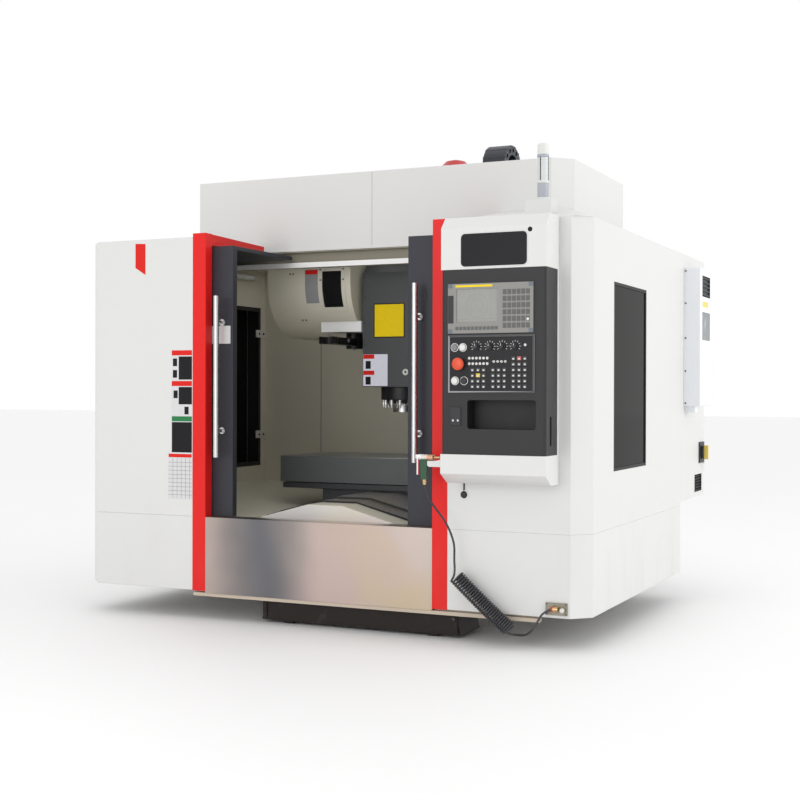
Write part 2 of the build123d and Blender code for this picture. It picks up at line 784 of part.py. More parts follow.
# Controls on the panel: turned caps and knobs that point to the front
def cap(x, z, outline):
    return turned(outline, (x, face_y - gap, z), (0, -1, 0))


# Push buttons reach back through the panel into wells in the case, with room for their travel
well_back = console_front + 14
button_back = -9
stem_r = 15
button_outline = [(0, button_back), (stem_r, button_back), (stem_r, 10), (13, 12), (0, 12)]
estop_outline = [(0, button_back), (stem_r, button_back), (stem_r, 16), (27, 18), (28, 27), (20, 34), (0, 37)]
button_places = {
    "estop_button": (852, 1302, estop_outline),
    "cycle_start_button": (830, 1226, button_outline),
    "feed_hold_button": (874, 1226, button_outline),
    "power_on_button": (828, 1377, button_outline),
    "power_off_button": (868, 1377, button_outline),
}
for name, (button_x, button_z, outline) in button_places.items():
    nodes[name] = cap(button_x, button_z, outline)
    well = rod((button_x, panel_front - 1, button_z), (button_x, well_back, button_z), stem_r + gap)
    operator -= well
    case -= well
nodes["operator_panel"] = operator
nodes["console_case"] = case
knob_outline = [(0, 0), (16, 0), (15, 6), (12, 8), (11, 20), (0, 20)]
knob_places = {"mode_knob": 933, "feed_knob": 998, "rapid_knob": 1057, "spindle_knob": 1118}
for name, knob_x in knob_places.items():
    knob = cap(knob_x, 1380, knob_outline)
    knob += block(knob_x - 2, knob_x + 2, face_y - gap - 22, face_y - gap - 8, 1380, 1380 + 13)
    nodes[name] = knob

# Beacon on the hip roof: a levelling block and a tower of ringed lenses
beacon_place = (1080, 300)
roof_at = roof_rise / guard_front
beacon_top = 2366
stand = [(245, panel_top + 245 * roof_at), (355, panel_top + 355 * roof_at), (355, 2095), (262, 2095)]
beacon = run_x(stand, 1005, 1135)
tower = [(0, 2095), (36, 2095), (36, 2105), (27, 2105), (27, 2175), (30, 2175), (30, 2187), (25, 2187)]
tower += [(25, 2300), (29, 2300), (29, 2312), (27, 2312), (27, beacon_top - 8)]
tower += [(19, beacon_top), (0, beacon_top)]
beacon += turned(tower, (*beacon_place, 0), (0, 0, 1))
nodes["beacon"] = beacon

# Air port: plate on the skirt with an elbow coupler for the hose and a capped spare
port = block(1203, 1305, -8, 0, 164, 220)
elbow_y = -27
port += rod((1258, -8, 194), (1258, elbow_y, 194), 11)
port += rod((1238, elbow_y, 194), (1269, elbow_y, 194), 11)
port += rod((1287, -8, 190), (1287, -30, 190), 9)
nodes["air_port"] = port

# Air gun on its bracket: grip, cross barrel and nozzle, with a lever trigger in front
gun_y = -110
gun_r = 15
barrel_z = tongue_top + gap + gun_r
grip_x = 645
gun = rod((622, gun_y, barrel_z), (692, gun_y, barrel_z), gun_r)
gun += rod((692, gun_y, barrel_z), (724, gun_y, barrel_z), 6)
grip_low = Plane((grip_x, gun_y, 768)) * Rectangle(28, 24)
grip_high = Plane((grip_x, gun_y, barrel_z)) * Rectangle(34, 26)
gun += loft([grip_low.face(), grip_high.face()])
hose_end = 758
gun += rod((grip_x, gun_y, hose_end), (grip_x, gun_y, 768), 9)
trigger_x = 612
pin_z = barrel_z + 4
pin_r = 3
for ear_y in (gun_y - 13, gun_y + 9.5):
    gun += block(trigger_x - 8, 630, ear_y, ear_y + 3.5, barrel_z - 6, barrel_z + 12)
gun -= rod((trigger_x, gun_y - 20, pin_z), (trigger_x, gun_y + 20, pin_z), pin_r + 0.05)
nodes["air_gun"] = gun
trigger = block(trigger_x - 4, trigger_x + 4, gun_y - 8, gun_y + 8, 790, pin_z)
trigger += rod((trigger_x, gun_y - 9, pin_z), (trigger_x, gun_y + 9, pin_z), 7)
trigger += rod((trigger_x, gun_y - 13, pin_z), (trigger_x, gun_y + 13, pin_z), pin_r)
nodes["air_gun_trigger"] = trigger

# Air hose: a hanging stretch from the gun, a curly stretch, and a tail to the port
hose_d = 10
coil_d = 70
hose_route = [
    (grip_x, gun_y, hose_end),
    (656, -107, 698),
    (690, -99, 640),
    (732, -90, 590),
    (764, -81, 530),
    (782, -71, 464),
    (778, -64, 400),
    (784, -60, 318),
]
coil_route = [(785, -60, 318), (925, -60, 190), (1050, -60, 92)]
tail_route = [
    (1046, -60, 95),
    (1090, -59, 66),
    (1138, -56, 74),
    (1166, -50, 112),
    (1180, -43, 140),
    (1200, -33, 178),
    (1238, elbow_y, 194),
]


def hose_tube(route, diameter):
    """A tube along straight runs joined by the largest tangent arcs that the runs leave room for."""
    points = [Vector(*p) for p in route]
    runs = [b - a for a, b in zip(points, points[1:])]
    radii = []
    for a, b in zip(runs, runs[1:]):
        half_turn = radians(a.get_angle(b)) / 2
        radii.append(0.45 * min(a.length, b.length) / tan(half_turn))
    path = FilletPolyline(*route, radius=radii)
    section = Plane(origin=path @ 0, z_dir=path % 0) * Circle(diameter / 2)
    tube = sweep(section, path=path)
    print("hose radii", [round(r) for r in radii], "length", round(path.length))
    print("hose volume", round(tube.volume), "section by length", round(pi * diameter**2 / 4 * path.length))
    return tube


nodes["air_hose"] = hose_tube(hose_route, hose_d)
nodes["air_hose_coil"] = hose_tube(coil_route, coil_d)
nodes["air_hose_tail"] = hose_tube(tail_route, hose_d)

# Origin: on the floor under the middle of the box, measured without the hose
hose_nodes = ("air_hose", "air_hose_coil", "air_hose_tail")
groups = {name: shape if isinstance(shape, list) else [shape] for name, shape in nodes.items()}
boxes = [shape.bounding_box() for name, group in groups.items() if name not in hose_nodes for shape in group]
middle_x = (min(b.min.X for b in boxes) + max(b.max.X for b in boxes)) / 2
middle_y = (min(b.min.Y for b in boxes) + max(b.max.Y for b in boxes)) / 2
lowest = min(b.min.Z for b in boxes)
print("origin at", middle_x, middle_y, lowest, "nodes", len(nodes))

os.makedirs("parts", exist_ok=True)
for name, group in groups.items():
    solids = [Pos(-middle_x, -middle_y, -lowest) * shape for shape in group]
    piece = solids[0] if len(solids) == 1 else Compound(children=solids)
    export_step(piece, f"parts/{name}.step")
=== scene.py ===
import json
from math import cos, pi, radians, sin, sqrt

import bmesh
import bpy
from mathutils import Matrix, Vector


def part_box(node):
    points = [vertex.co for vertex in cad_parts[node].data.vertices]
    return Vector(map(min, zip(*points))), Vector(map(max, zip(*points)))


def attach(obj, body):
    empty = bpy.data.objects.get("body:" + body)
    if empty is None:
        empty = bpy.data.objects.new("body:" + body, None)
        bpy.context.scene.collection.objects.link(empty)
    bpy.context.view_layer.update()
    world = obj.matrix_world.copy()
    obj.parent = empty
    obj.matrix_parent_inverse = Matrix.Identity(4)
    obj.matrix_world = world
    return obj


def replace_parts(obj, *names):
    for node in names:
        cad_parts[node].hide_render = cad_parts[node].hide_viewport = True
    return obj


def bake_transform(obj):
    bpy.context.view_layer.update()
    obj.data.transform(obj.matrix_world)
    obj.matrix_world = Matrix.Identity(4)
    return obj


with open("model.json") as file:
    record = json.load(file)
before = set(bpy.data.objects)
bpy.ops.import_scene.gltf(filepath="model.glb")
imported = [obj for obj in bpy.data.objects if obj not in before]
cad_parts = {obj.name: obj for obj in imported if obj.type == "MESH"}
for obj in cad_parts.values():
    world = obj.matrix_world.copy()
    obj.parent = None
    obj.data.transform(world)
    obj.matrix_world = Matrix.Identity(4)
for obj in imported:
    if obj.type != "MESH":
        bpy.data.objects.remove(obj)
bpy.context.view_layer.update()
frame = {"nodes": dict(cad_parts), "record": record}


# Bed and column: grey iron castings, cast in sand, filled, rubbed down and painted, with ground steel
# rails bolted on. The bed stands on six levelling screws and its arms carry the enclosure.
class Shade:
    """A socket of a material: sums on it add Math nodes, and node() adds any other node."""

    def __init__(self, tree, socket):
        self.tree = tree
        self.socket = socket

    def node(self, kind, settings, values, out=0):
        made = self.tree.nodes.new("ShaderNode" + kind)
        for name, value in settings.items():
            setattr(made, name, value)
        for name, value in values.items():
            target = made.inputs[name]
            if isinstance(value, Shade):
                self.tree.links.new(value.socket, target)
            elif target.type == "RGBA":
                target.default_value = (*value, 1)
            else:
                target.default_value = value
        return Shade(self.tree, made.outputs[out] if made.outputs else None)

    def maths(self, operation, *values):
        return self.node("Math", {"operation": operation}, dict(enumerate(values)))

    def __add__(self, other):
        return self.maths("ADD", self, other)

    def __sub__(self, other):
        return self.maths("SUBTRACT", self, other)

    def __rsub__(self, other):
        return self.maths("SUBTRACT", other, self)

    def __mul__(self, other):
        return self.maths("MULTIPLY", self, other)

    def __lt__(self, other):
        return self.maths("LESS_THAN", self, other)

    def __abs__(self):
        return self.maths("ABSOLUTE", self)

    __radd__ = __add__
    __rmul__ = __mul__


def start_finish(name):
    """A new material, and its Object coordinates to build its maps from."""
    finish = bpy.data.materials.new(name)
    finish.use_nodes = True
    finish.node_tree.nodes.clear()
    coordinates = finish.node_tree.nodes.new("ShaderNodeTexCoord")
    return finish, Shade(finish.node_tree, coordinates.outputs["Object"])


def end_finish(finish, point, sockets, height=None, depth=0.0):
    """Joins the maps to one shader; height and depth give its bump."""
    if height is not None:
        sockets["Normal"] = point.node("Bump", {}, {"Distance": depth, "Height": height})
    shader = point.node("BsdfPrincipled", {}, sockets)
    point.node("OutputMaterial", {}, {"Surface": shader})
    return finish


def noise(point, scale, detail=2.0, stretch=(1, 1, 1)):
    """Cloudy noise from 0 to 1, with scale features to a metre."""
    mapped = point.node("Mapping", {}, {"Vector": point, "Scale": stretch})
    return point.node("TexNoise", {}, {"Vector": mapped, "Scale": scale, "Detail": detail})


def mixed(point, factor, low, high):
    """One colour where factor is 0, the other where it is 1."""
    return point.node("Mix", {"data_type": "RGBA"}, {0: factor, 6: low, 7: high}, out=2)


def toned(colour, share):
    """A lighter or darker tone of a colour."""
    return [min(1.0, c * share) for c in colour]


def ramp(point, value, low, high):
    """A smooth rise from 0 at low to 1 at high."""
    settings = {"interpolation_type": "SMOOTHSTEP"}
    return point.node("MapRange", settings, {"Value": value, "From Min": low, "From Max": high})


def casting_paint(name, colour, roughness):
    finish, point = start_finish(name)
    sand = noise(point, 90, 4)
    tint = mixed(point, noise(point, 3, 3), toned(colour, 0.82), toned(colour, 1.12))
    sockets = {"Base Color": tint, "Roughness": roughness + 0.14 * sand}
    return end_finish(finish, point, sockets, sand + 0.6 * noise(point, 22), 0.0009)


def bright_steel(name, colour, roughness, stretch):
    """Worked metal: fine lines drawn out where stretch is small, with a little staining."""
    finish, point = start_finish(name)
    lines = noise(point, 500, 2, stretch)
    tint = mixed(point, noise(point, 9, 3), toned(colour, 0.86), colour)
    sockets = {"Base Color": tint, "Roughness": roughness + 0.16 * lines, "Metallic": 1.0}
    return end_finish(finish, point, sockets, lines, 0.00003)


apron_low, apron_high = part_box("apron")
front_middle = Vector(((apron_low.x + apron_high.x) / 2, apron_low.y, 0))


def place(x, y, z):
    """A point in metres, from millimetres right of the middle, behind the front and above the floor."""
    return front_middle + Vector((x, y, z)) / 1000


def add_piece(name, shape, finish, body):
    """Makes a built shape an object, smooth but for its sharp edges, on a body if one is given."""
    mesh = bpy.data.meshes.new(name)
    shape.to_mesh(mesh)
    shape.free()
    mesh.materials.append(finish)
    mesh.shade_smooth()
    mesh.set_sharp_from_angle(angle=radians(35))
    piece = bpy.data.objects.new(name, mesh)
    bpy.context.scene.collection.objects.link(piece)
    piece.modifiers.new("Face normals", "WEIGHTED_NORMAL").keep_sharp = True
    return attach(piece, body) if body else piece


def softened(node, finish, edge, rides=True):
    """The solid's own form with its sharp edges broken, in place of the solid."""
    shape = bmesh.new()
    shape.from_mesh(frame["nodes"][node].data)
    bmesh.ops.remove_doubles(shape, verts=shape.verts, dist=0.00002)
    bmesh.ops.dissolve_limit(shape, angle_limit=radians(0.3), verts=shape.verts, edges=shape.edges)
    sharp = [e for e in shape.edges if len(e.link_faces) == 2 and e.calc_face_angle() > radians(35)]
    bmesh.ops.bevel(
        shape, geom=sharp, offset=edge, offset_type="OFFSET", segments=2, profile=0.5,
        affect="EDGES", material=-1, clamp_overlap=True,
    )
    groups = frame["record"]["behaviour"]["bodies"]
    body = next(name for name, group in groups.items() if node in group)
    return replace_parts(add_piece(node + "_form", shape, finish, body if rides else None), node)


def second_finish(piece, finish, test):
    """Gives another finish to the faces whose middle, in millimetres, passes the test."""
    piece.data.materials.append(finish)
    for face in piece.data.polygons:
        if test(*(1000 * (face.center - front_middle))):
            face.material_index = len(piece.data.materials) - 1


def painted_over(node, finish):
    """A solid that stays as it is, with this finish."""
    mesh = frame["nodes"][node].data
    mesh.materials.clear()
    mesh.materials.append(finish)


casting_grey = casting_paint("casting_grey", (0.30, 0.31, 0.32), 0.42)
ground_rail = bright_steel("ground_rail", (0.60, 0.60, 0.61), 0.14, (1, 1, 1))
bed = softened("base_casting", casting_grey, 0.004)
second_finish(bed, ground_rail, lambda x, y, z: z > 481 and 519 < y < 1681)
column = softened("column", casting_grey, 0.004)
second_finish(column, ground_rail, lambda x, y, z: y < 1729)
turned_steel = bright_steel("turned_steel", (0.58, 0.58, 0.59), 0.22, (0.05, 0.05, 1))
painted_over("levelling_feet", turned_steel)


# Coolant tank: welded black sheet on two runners, pushed in under the apron.
# A gusset with one bolt holds it at its right end.
def gloss_paint(name, colour, roughness):
    finish, point = start_finish(name)
    fine = noise(point, 420)
    scuff = ramp(point, noise(point, 14, 6), 0.58, 0.76)
    tint = mixed(point, scuff, colour, [c * 1.5 + 0.012 for c in colour])
    sockets = {"Base Color": tint, "Specular IOR Level": 0.3}
    sockets["Roughness"] = roughness + 0.10 * fine + 0.14 * scuff
    return end_finish(finish, point, sockets, fine, 0.00012)


def slab(shape, low, high, edge):
    """Adds a block between two corners, with its edges broken."""
    verts = bmesh.ops.create_cube(shape, size=1.0)["verts"]
    bmesh.ops.scale(shape, verts=verts, vec=high - low)
    bmesh.ops.translate(shape, verts=verts, vec=(low + high) / 2)
    rims = list({e for v in verts for e in v.link_edges})
    bmesh.ops.bevel(
        shape, geom=rims, offset=edge, offset_type="OFFSET", segments=2, profile=0.5,
        affect="EDGES", material=-1, clamp_overlap=True,
    )


def blocks(name, spans, finish, body, edge=0.001):
    """One piece of several blocks, each given by two corners in millimetres."""
    shape = bmesh.new()
    for low, high in spans:
        slab(shape, place(*low), place(*high), edge)
    return add_piece(name, shape, finish, body)


def plates(name, outlines, y0, y1, finish, body):
    """One piece of several flat plates, each an outline of (x, z) points run from y0 to y1."""
    shape = bmesh.new()
    for outline in outlines:
        face = shape.faces.new([shape.verts.new(place(x, y0, z)) for x, z in outline])
        grown = bmesh.ops.extrude_face_region(shape, geom=[face])["geom"]
        back = [v for v in grown if isinstance(v, bmesh.types.BMVert)]
        bmesh.ops.translate(shape, verts=back, vec=(0, (y1 - y0) / 1000, 0))
    bmesh.ops.recalc_face_normals(shape, faces=shape.faces)
    return add_piece(name, shape, finish, body)


def turned(shape, outline, centre, axis, steps=24):
    """Adds a turned form: (radius, height) points in millimetres, spun about an axis through a centre."""
    made = bmesh.new()
    line = [made.verts.new((radius / 1000, 0, height / 1000)) for radius, height in outline]
    rims = [made.edges.new(pair) for pair in zip(line, line[1:])]
    bmesh.ops.spin(
        made, geom=line + rims, cent=(0, 0, 0), axis=(0, 0, 1), angle=2 * pi, steps=steps, use_merge=True
    )
    bmesh.ops.remove_doubles(made, verts=made.verts, dist=0.000005)
    bmesh.ops.recalc_face_normals(made, faces=made.faces)
    turn = Vector((0, 0, 1)).rotation_difference(Vector(axis)).to_matrix().to_4x4()
    bmesh.ops.transform(made, matrix=Matrix.Translation(place(*centre)) @ turn, verts=made.verts)
    store = bpy.data.meshes.new("turned")
    made.to_mesh(store)
    made.free()
    shape.from_mesh(store)
    bpy.data.meshes.remove(store)


def turnings(name, outline, places, axis, finish, body, steps=24):
    """One piece of several like turned forms."""
    shape = bmesh.new()
    for centre in places:
        turned(shape, outline, centre, axis, steps)
    return add_piece(name, shape, finish, body)


def screws(name, places, axis, radius, finish, body):
    """Socket screws: low button heads, each with a round-bottomed socket."""
    head = [(0, 0.25), (0.45, 0.3), (0.5, 0.62), (0.72, 0.62), (0.95, 0.4), (1, 0), (1, -0.1)]
    outline = [(radius * r, radius * h) for r, h in head]
    return turnings(name, outline, places, axis, finish, body, 12)


tank_black = gloss_paint("tank_black", (0.014, 0.009, 0.007), 0.40)
softened("coolant_tank", tank_black, 0.003)
gusset = [(684, 122), (734, 122), (738, 18)]
plates("tank_gusset", [gusset], 73, 79, tank_black, "machine")
dark_screw = bright_steel("dark_screw", (0.10, 0.10, 0.105), 0.35, (1, 1, 1))
screws("tank_bolt", [(718, 73, 96)], (0, -1, 0), 11, dark_screw, "machine")


# Enclosure: folded steel sheet in white powder coat, bolted together from inside, so that only fine
# seams show. A hip rises on the right to the open-topped guard over the work space.
def powder_coat(name, colour, roughness):
    finish, point = start_finish(name)
    peel = noise(point, 320)
    height = point.node("SeparateXYZ", {}, {"Vector": point}, out=2)
    splash = ramp(point, noise(point, 5, 5, (1, 1, 0.35)), 0.45, 0.8)
    soil = (1 - ramp(point, height, 0.14, 0.75)) * splash
    sheet = mixed(point, noise(point, 1.1, 3), toned(colour, 0.965), colour)
    tint = mixed(point, 0.14 * soil, sheet, (0.36, 0.33, 0.29))
    sockets = {"Base Color": tint, "Specular IOR Level": 0.25}
    sockets["Roughness"] = roughness + 0.10 * peel + 0.12 * soil
    return end_finish(finish, point, sockets, peel, 0.00012)


def film(name, colour):
    """Printed vinyl, stuck on."""
    finish, point = start_finish(name)
    cloud = noise(point, 40, 3)
    sockets = {"Base Color": mixed(point, cloud, toned(colour, 0.93), toned(colour, 1.04))}
    sockets["Roughness"] = 0.30 + 0.12 * cloud
    sockets["Specular IOR Level"] = 0.15
    return end_finish(finish, point, sockets, noise(point, 260), 0.00005)


panel_white = powder_coat("panel_white", (0.71, 0.71, 0.695), 0.34)
panel_nodes = ("skirt_left", "skirt_right", "enclosure_left", "enclosure_right", "rear_panel", "top_guard")
panels = {node: softened(node, panel_white, 0.0025) for node in panel_nodes}
seam_shadow = film("seam_shadow", (0.16, 0.16, 0.155))
guard_seam = [((-26, 689.6, 1964), (-24.5, 690.5, 2367))]
blocks("guard_seam", guard_seam, seam_shadow, "machine", 0.0001)
blocks("guard_hem", [((-712, 685, 1953), (712, 690.5, 1963))], panel_white, "machine", 0.002)
rear_face = 1786
rear_screws = [(x, rear_face, z) for x in (-1370, -460) for z in range(250, 1950, 280)]
rear_screws += [(x, rear_face, z) for x in (460, 1370) for z in (250, 480)]
screws("rear_screws", rear_screws, (0, 1, 0), 6, dark_screw, "machine")


# Fields on the left front panel: cut and printed vinyl, stuck on.
# A red slash stands above, and two white sheets of plain placards beside the pillar.
def printed(x0, x1, z0, z1):
    """A field printed over a placard, as a span for blocks."""
    return (x0, -0.8, z0), (x1, -0.3, z1)


red_film = film("red_film", (0.70, 0.020, 0.015))
film_face, film_back = -0.5, 0.1
slash = [(-1074, 1952), (-1074, 1825), (-1010, 1786), (-1010, 1949)]
plates("red_slash", [slash], film_face, film_back, red_film, "machine")
white_film = film("white_film", (0.66, 0.66, 0.66))
grey_film = film("grey_film", (0.30, 0.30, 0.31))
green_film = film("green_film", (0.03, 0.20, 0.07))
black_film = film("black_film", (0.012, 0.012, 0.014))
placard_spans = [((-845, film_face, 857), (-716, film_back, 1390))]
placard_spans += [((-865, film_face, 617), (-716, film_back, 854))]
blocks("placards", placard_spans, white_film, "machine", 0.0002)
red_spans = [printed(-843, -718, z - 26, z) for z in (1388, 1229)]
red_spans += [printed(-862, -719, 833, 851)]
blocks("placard_heads", red_spans, red_film, "machine", 0.0002)
dark_spans = [printed(-800, -718, low, high) for low, high in ((1236, 1356), (1108, 1198))]
dark_spans += [printed(-842, -718, 859, 1016)]
small_fields = [(-836, 1306), (-836, 1246), (-832, 1140), (-764, 1056)]
dark_spans += [printed(x, x + 26, z, z + 40) for x, z in small_fields]
blocks("placard_panels", dark_spans, black_film, "machine", 0.0002)
green_spans = [printed(-842, -718, 1020, 1046)]
blocks("placard_green", green_spans, green_film, "machine", 0.0002)
grey_spans = [printed(-862, -719, z, z + 2) for z in range(638, 827, 21)]
grey_spans += [printed(x, x + 2, 620, 830) for x in range(-836, -706, 26)]
blocks("placard_rules", grey_spans, grey_film, "machine", 0.0001)


# Pillars: folded sheet in red powder coat, screwed over the edge of each front panel.
# Each carries a tapering band back over the roof.
pillar_red = powder_coat("pillar_red", (0.74, 0.014, 0.012), 0.28)
for node in ("pillar_left", "pillar_right"):
    softened(node, pillar_red, 0.0025)


# Apron: one bent sheet of stainless steel with a long-grain brushed face, folded back at its head and foot.
# A beige painted flange below it closes the gap to the tank.
def brushed_sheet(name, colour, roughness, painted_shade_x=9.0):
    """Stainless sheet, its grain along x, darkened by painted shade round one x in metres, far off unless
    given.
    """
    finish, point = start_finish(name)
    grain = noise(point, 700, 3, (0.012, 1, 1))
    # Painted shade: near that x the sheet darkens towards a blue-grey.
    across = point.node("SeparateXYZ", {}, {"Vector": point}, out=0) + 0.3 * noise(point, 2.1)
    cloud = 1 - ramp(point, abs(across - painted_shade_x), 0.0, 0.40)
    streak = mixed(point, ramp(point, noise(point, 1.7), 0.35, 0.65), toned(colour, 0.86), colour)
    gold = [colour[0], colour[1] * 0.97, colour[2] * 0.80]
    rose = [colour[0] * 0.99, colour[1] * 0.91, colour[2] * 0.95]
    tint = mixed(point, ramp(point, noise(point, 2.3, 1), 0.48, 0.70), streak, gold)
    tint = mixed(point, ramp(point, noise(point, 3.1, 2, (1, 1, 0.6)), 0.40, 0.80), tint, rose)
    tint = mixed(point, 0.92 * cloud, tint, (0.135, 0.14, 0.155))
    sockets = {"Base Color": tint, "Roughness": roughness + 0.18 * grain, "Metallic": 1.0}
    return end_finish(finish, point, sockets, grain, 0.00002)


# Painted shade darkens the apron a little left of its middle.
apron_steel = brushed_sheet("apron_steel", (0.54, 0.455, 0.41), 0.28, front_middle.x - 0.17)
softened("apron", apron_steel, 0.0015)
beige_paint = powder_coat("beige_paint", (0.55, 0.47, 0.38), 0.42)
foot_flange = [((-712, 4, 122), (1170, 38, 140.5)), ((640, 24, 139), (1170, 38, 150.5))]
blocks("foot_flange", foot_flange, beige_paint, "machine", 0.002)


# Doors: a folded leaf and roof leaf in dark grey powder coat, hung on the header and run in the lower guide.
# Each has a laminated pane in a rubber seal, and a steel tube handle on two stand-offs.
def clear_pane(name, colour, alpha):
    finish, point = start_finish(name)
    smear = noise(point, 6, 5, (1, 1, 0.4))
    sockets = {"Base Color": mixed(point, smear, colour, toned(colour, 1.5))}
    sockets["Roughness"] = 0.02 + 0.09 * smear
    sockets["Alpha"] = alpha
    sockets["IOR"] = 1.08
    return end_finish(finish, point, sockets)


def moulded(name, colour, roughness):
    """Moulded plastic or rubber: a fine spark-eroded grain and a trace of handling."""
    finish, point = start_finish(name)
    cloud = noise(point, 11, 3)
    sockets = {"Base Color": mixed(point, cloud, toned(colour, 0.9), toned(colour, 1.05))}
    sockets["Roughness"] = roughness + 0.14 * cloud
    return end_finish(finish, point, sockets, noise(point, 900), 0.00006)


def rim(low, high, width):
    """The four bars of an upright frame between two corners in millimetres, as spans for blocks."""
    low, high = Vector(low), Vector(high)
    across = Vector((1, 0, 0)) if high.x - low.x > high.y - low.y else Vector((0, 1, 0))
    past_post = across * ((high - low).dot(across) - width)
    past_sill = Vector((0, 0, high.z - low.z - width))
    posts = [(low, high - past_post), (low + past_post, high)]
    sill = (low + across * width, high - across * width - past_sill)
    lintel = (low + across * width + past_sill, high - across * width)
    return [*posts, sill, lintel]


door_grey = powder_coat("door_grey", (0.038, 0.040, 0.050), 0.34)
door_pane = clear_pane("door_pane", (0.05, 0.06, 0.065), 0.45)
seal_rubber = moulded("seal_rubber", (0.012, 0.012, 0.013), 0.55)
drawn_tube = bright_steel("drawn_tube", (0.66, 0.66, 0.66), 0.20, (1, 1, 0.04))
seal_lap = 8
for side, pane_left, pane_right in (("left", -1060, -665), ("right", 626, 1021)):
    softened(f"door_{side}", door_grey, 0.002)
    painted_over(f"door_{side}_window", door_pane)
    softened(f"door_{side}_handle", drawn_tube, 0.001)
    seal = []
    for seal_y in (67, 109):
        seal += rim((pane_left - seal_lap, seal_y, 862), (pane_right + seal_lap, seal_y + 4, 1768), 20)
    blocks(f"door_{side}_seal", seal, seal_rubber, f"{side}_door", 0.0015)
door_notice = [((-662, 69.5, 1422), (-530, 70.2, 1514))]
blocks("left_door_notice", door_notice, white_film, "left_door", 0.0002)
catch_black = moulded("catch_black", (0.02, 0.02, 0.03), 0.40)
left_catch = [((-553, 67, 1545), (-525, 70.5, 1650))]
blocks("left_door_catch", left_catch, catch_black, "left_door", 0.002)
right_catch = [((552, 67, 1616), (574, 70.5, 1655))]
blocks("right_door_catch", right_catch, catch_black, "right_door", 0.002)


# Header and guide: a folded channel across the opening under the guard, its beige darkened as painted shade,
# with a bright rail on its lower lip, lightened as painted light, and a stainless guide behind the sill.
# Painted shade: the channel's beige is darker than the lining's, for the shade inside it.
header_beige_with_painted_shade = powder_coat("header_beige_with_painted_shade", (0.30, 0.28, 0.22), 0.40)
header = softened("door_rail", header_beige_with_painted_shade, 0.001)
stainless = brushed_sheet("stainless", (0.60, 0.58, 0.56), 0.30)
second_finish(header, stainless, lambda x, y, z: z < 600)
# Painted light: this white is lighter than the panels' paint, to lift the rail in the shade under the guard;
# the gear case and the cover's left edge take it too.
painted_light_white = powder_coat("painted_light_white", (0.90, 0.90, 0.89), 0.22)
header_rail = [((-1288, 687.5, 1863), (1288, 690.5, 1891))]
blocks("header_rail", header_rail, painted_light_white, "machine", 0.001)


# Inside lining: painted sheet with upright seams, sloped chip floors and a slot for the head.
# Each side window is a dark pane in a rubber frame. Two clips stand behind the left one, and a tube lamp
# hangs over it on the same wall.
lining_paint = powder_coat("lining_paint", (0.67, 0.635, 0.53), 0.40)
lining = softened("inner_liner", lining_paint, 0.001)
second_finish(lining, seal_rubber, lambda x, y, z: abs(x) > 1301)
for node, low_y, high_y in (("enclosure_left", 1000, 1630), ("enclosure_right", 400, 1030)):
    second_finish(
        panels[node], seal_rubber,
        lambda x, y, z: 1381 < abs(x) < 1399 and low_y < y < high_y and 700 < z < 1715,
    )
side_pane = clear_pane("side_pane", (0.010, 0.0095, 0.009), 0.995)
for node in ("window_left", "window_right"):
    painted_over(node, side_pane)
frames = rim((-1291, 1000, 702), (-1286, 1627, 1714), 26) + rim((1286, 402, 788), (1291, 1029, 1714), 26)
frames += rim((-1399.5, 1011, 713), (-1393, 1616, 1703), 14) + rim((1393, 413, 799), (1399.5, 1018, 1703), 14)
blocks("window_frames", frames, seal_rubber, "machine", 0.0015)
clip_grey = powder_coat("clip_grey", (0.62, 0.61, 0.57), 0.35)
clip_heights = (901, 1548)
clip_face = -1283
clip_spans = [((-1290.5, 1572, z - 24), (clip_face, 1688, z + 24)) for z in clip_heights]
blocks("window_clips", clip_spans, clip_grey, "machine", 0.0015)
clip_screws = [(clip_face, y, z) for y in (1604, 1656) for z in clip_heights]
screws("clip_screws", clip_screws, (1, 0, 0), 8, dark_screw, "machine")
lining_seams = [((x, 1689.6, 792), (x + 4.5, 1690.5, 1948)) for x in (-879, 640, 980)]
lining_seams += [((-1290.4, 900, 620), (-1289.6, 901.8, 1948)), ((1289.6, 1300, 620), (1290.4, 1301.8, 1948))]
blocks("lining_seams", lining_seams, seam_shadow, "machine", 0.0001)
lamp_white = moulded("lamp_white", (0.74, 0.74, 0.72), 0.20)
lamp_tube = [(0, 0), (17, 0), (17, 560), (0, 560)]
lamp_x, lamp_z = -1262, 1896
lamp_ends = [(lamp_x, y, lamp_z) for y in (940, 1486)]
turnings("work_lamp", lamp_tube, lamp_ends[:1], (0, 1, 0), lamp_white, "machine")
lamp_cap = [(0, -14), (15, -14), (20, -8), (20, 22), (17, 22)]
turnings("work_lamp_caps", lamp_cap, lamp_ends, (0, 1, 0), clip_grey, "machine")
lamp_arms = [((-1290.5, y, lamp_z - 12), (lamp_x, y + 24, lamp_z + 12)) for y in (1000, 1400)]
blocks("work_lamp_arms", lamp_arms, clip_grey, "machine", 0.002)


# Saddle, table and way covers: the saddle is a painted casting on the bed's rails, the table ground iron with
# T-slots, and the covers gabled stainless sheets, with black wiper lips in front, that slide over each other.
ridge = 100


def stepped(outline, step):
    """A way roof's outline with its sides moved out and its roof moved up by a step."""
    return [(x + step * ((x > ridge) - (x < -ridge)), z + step) for x, z in outline]


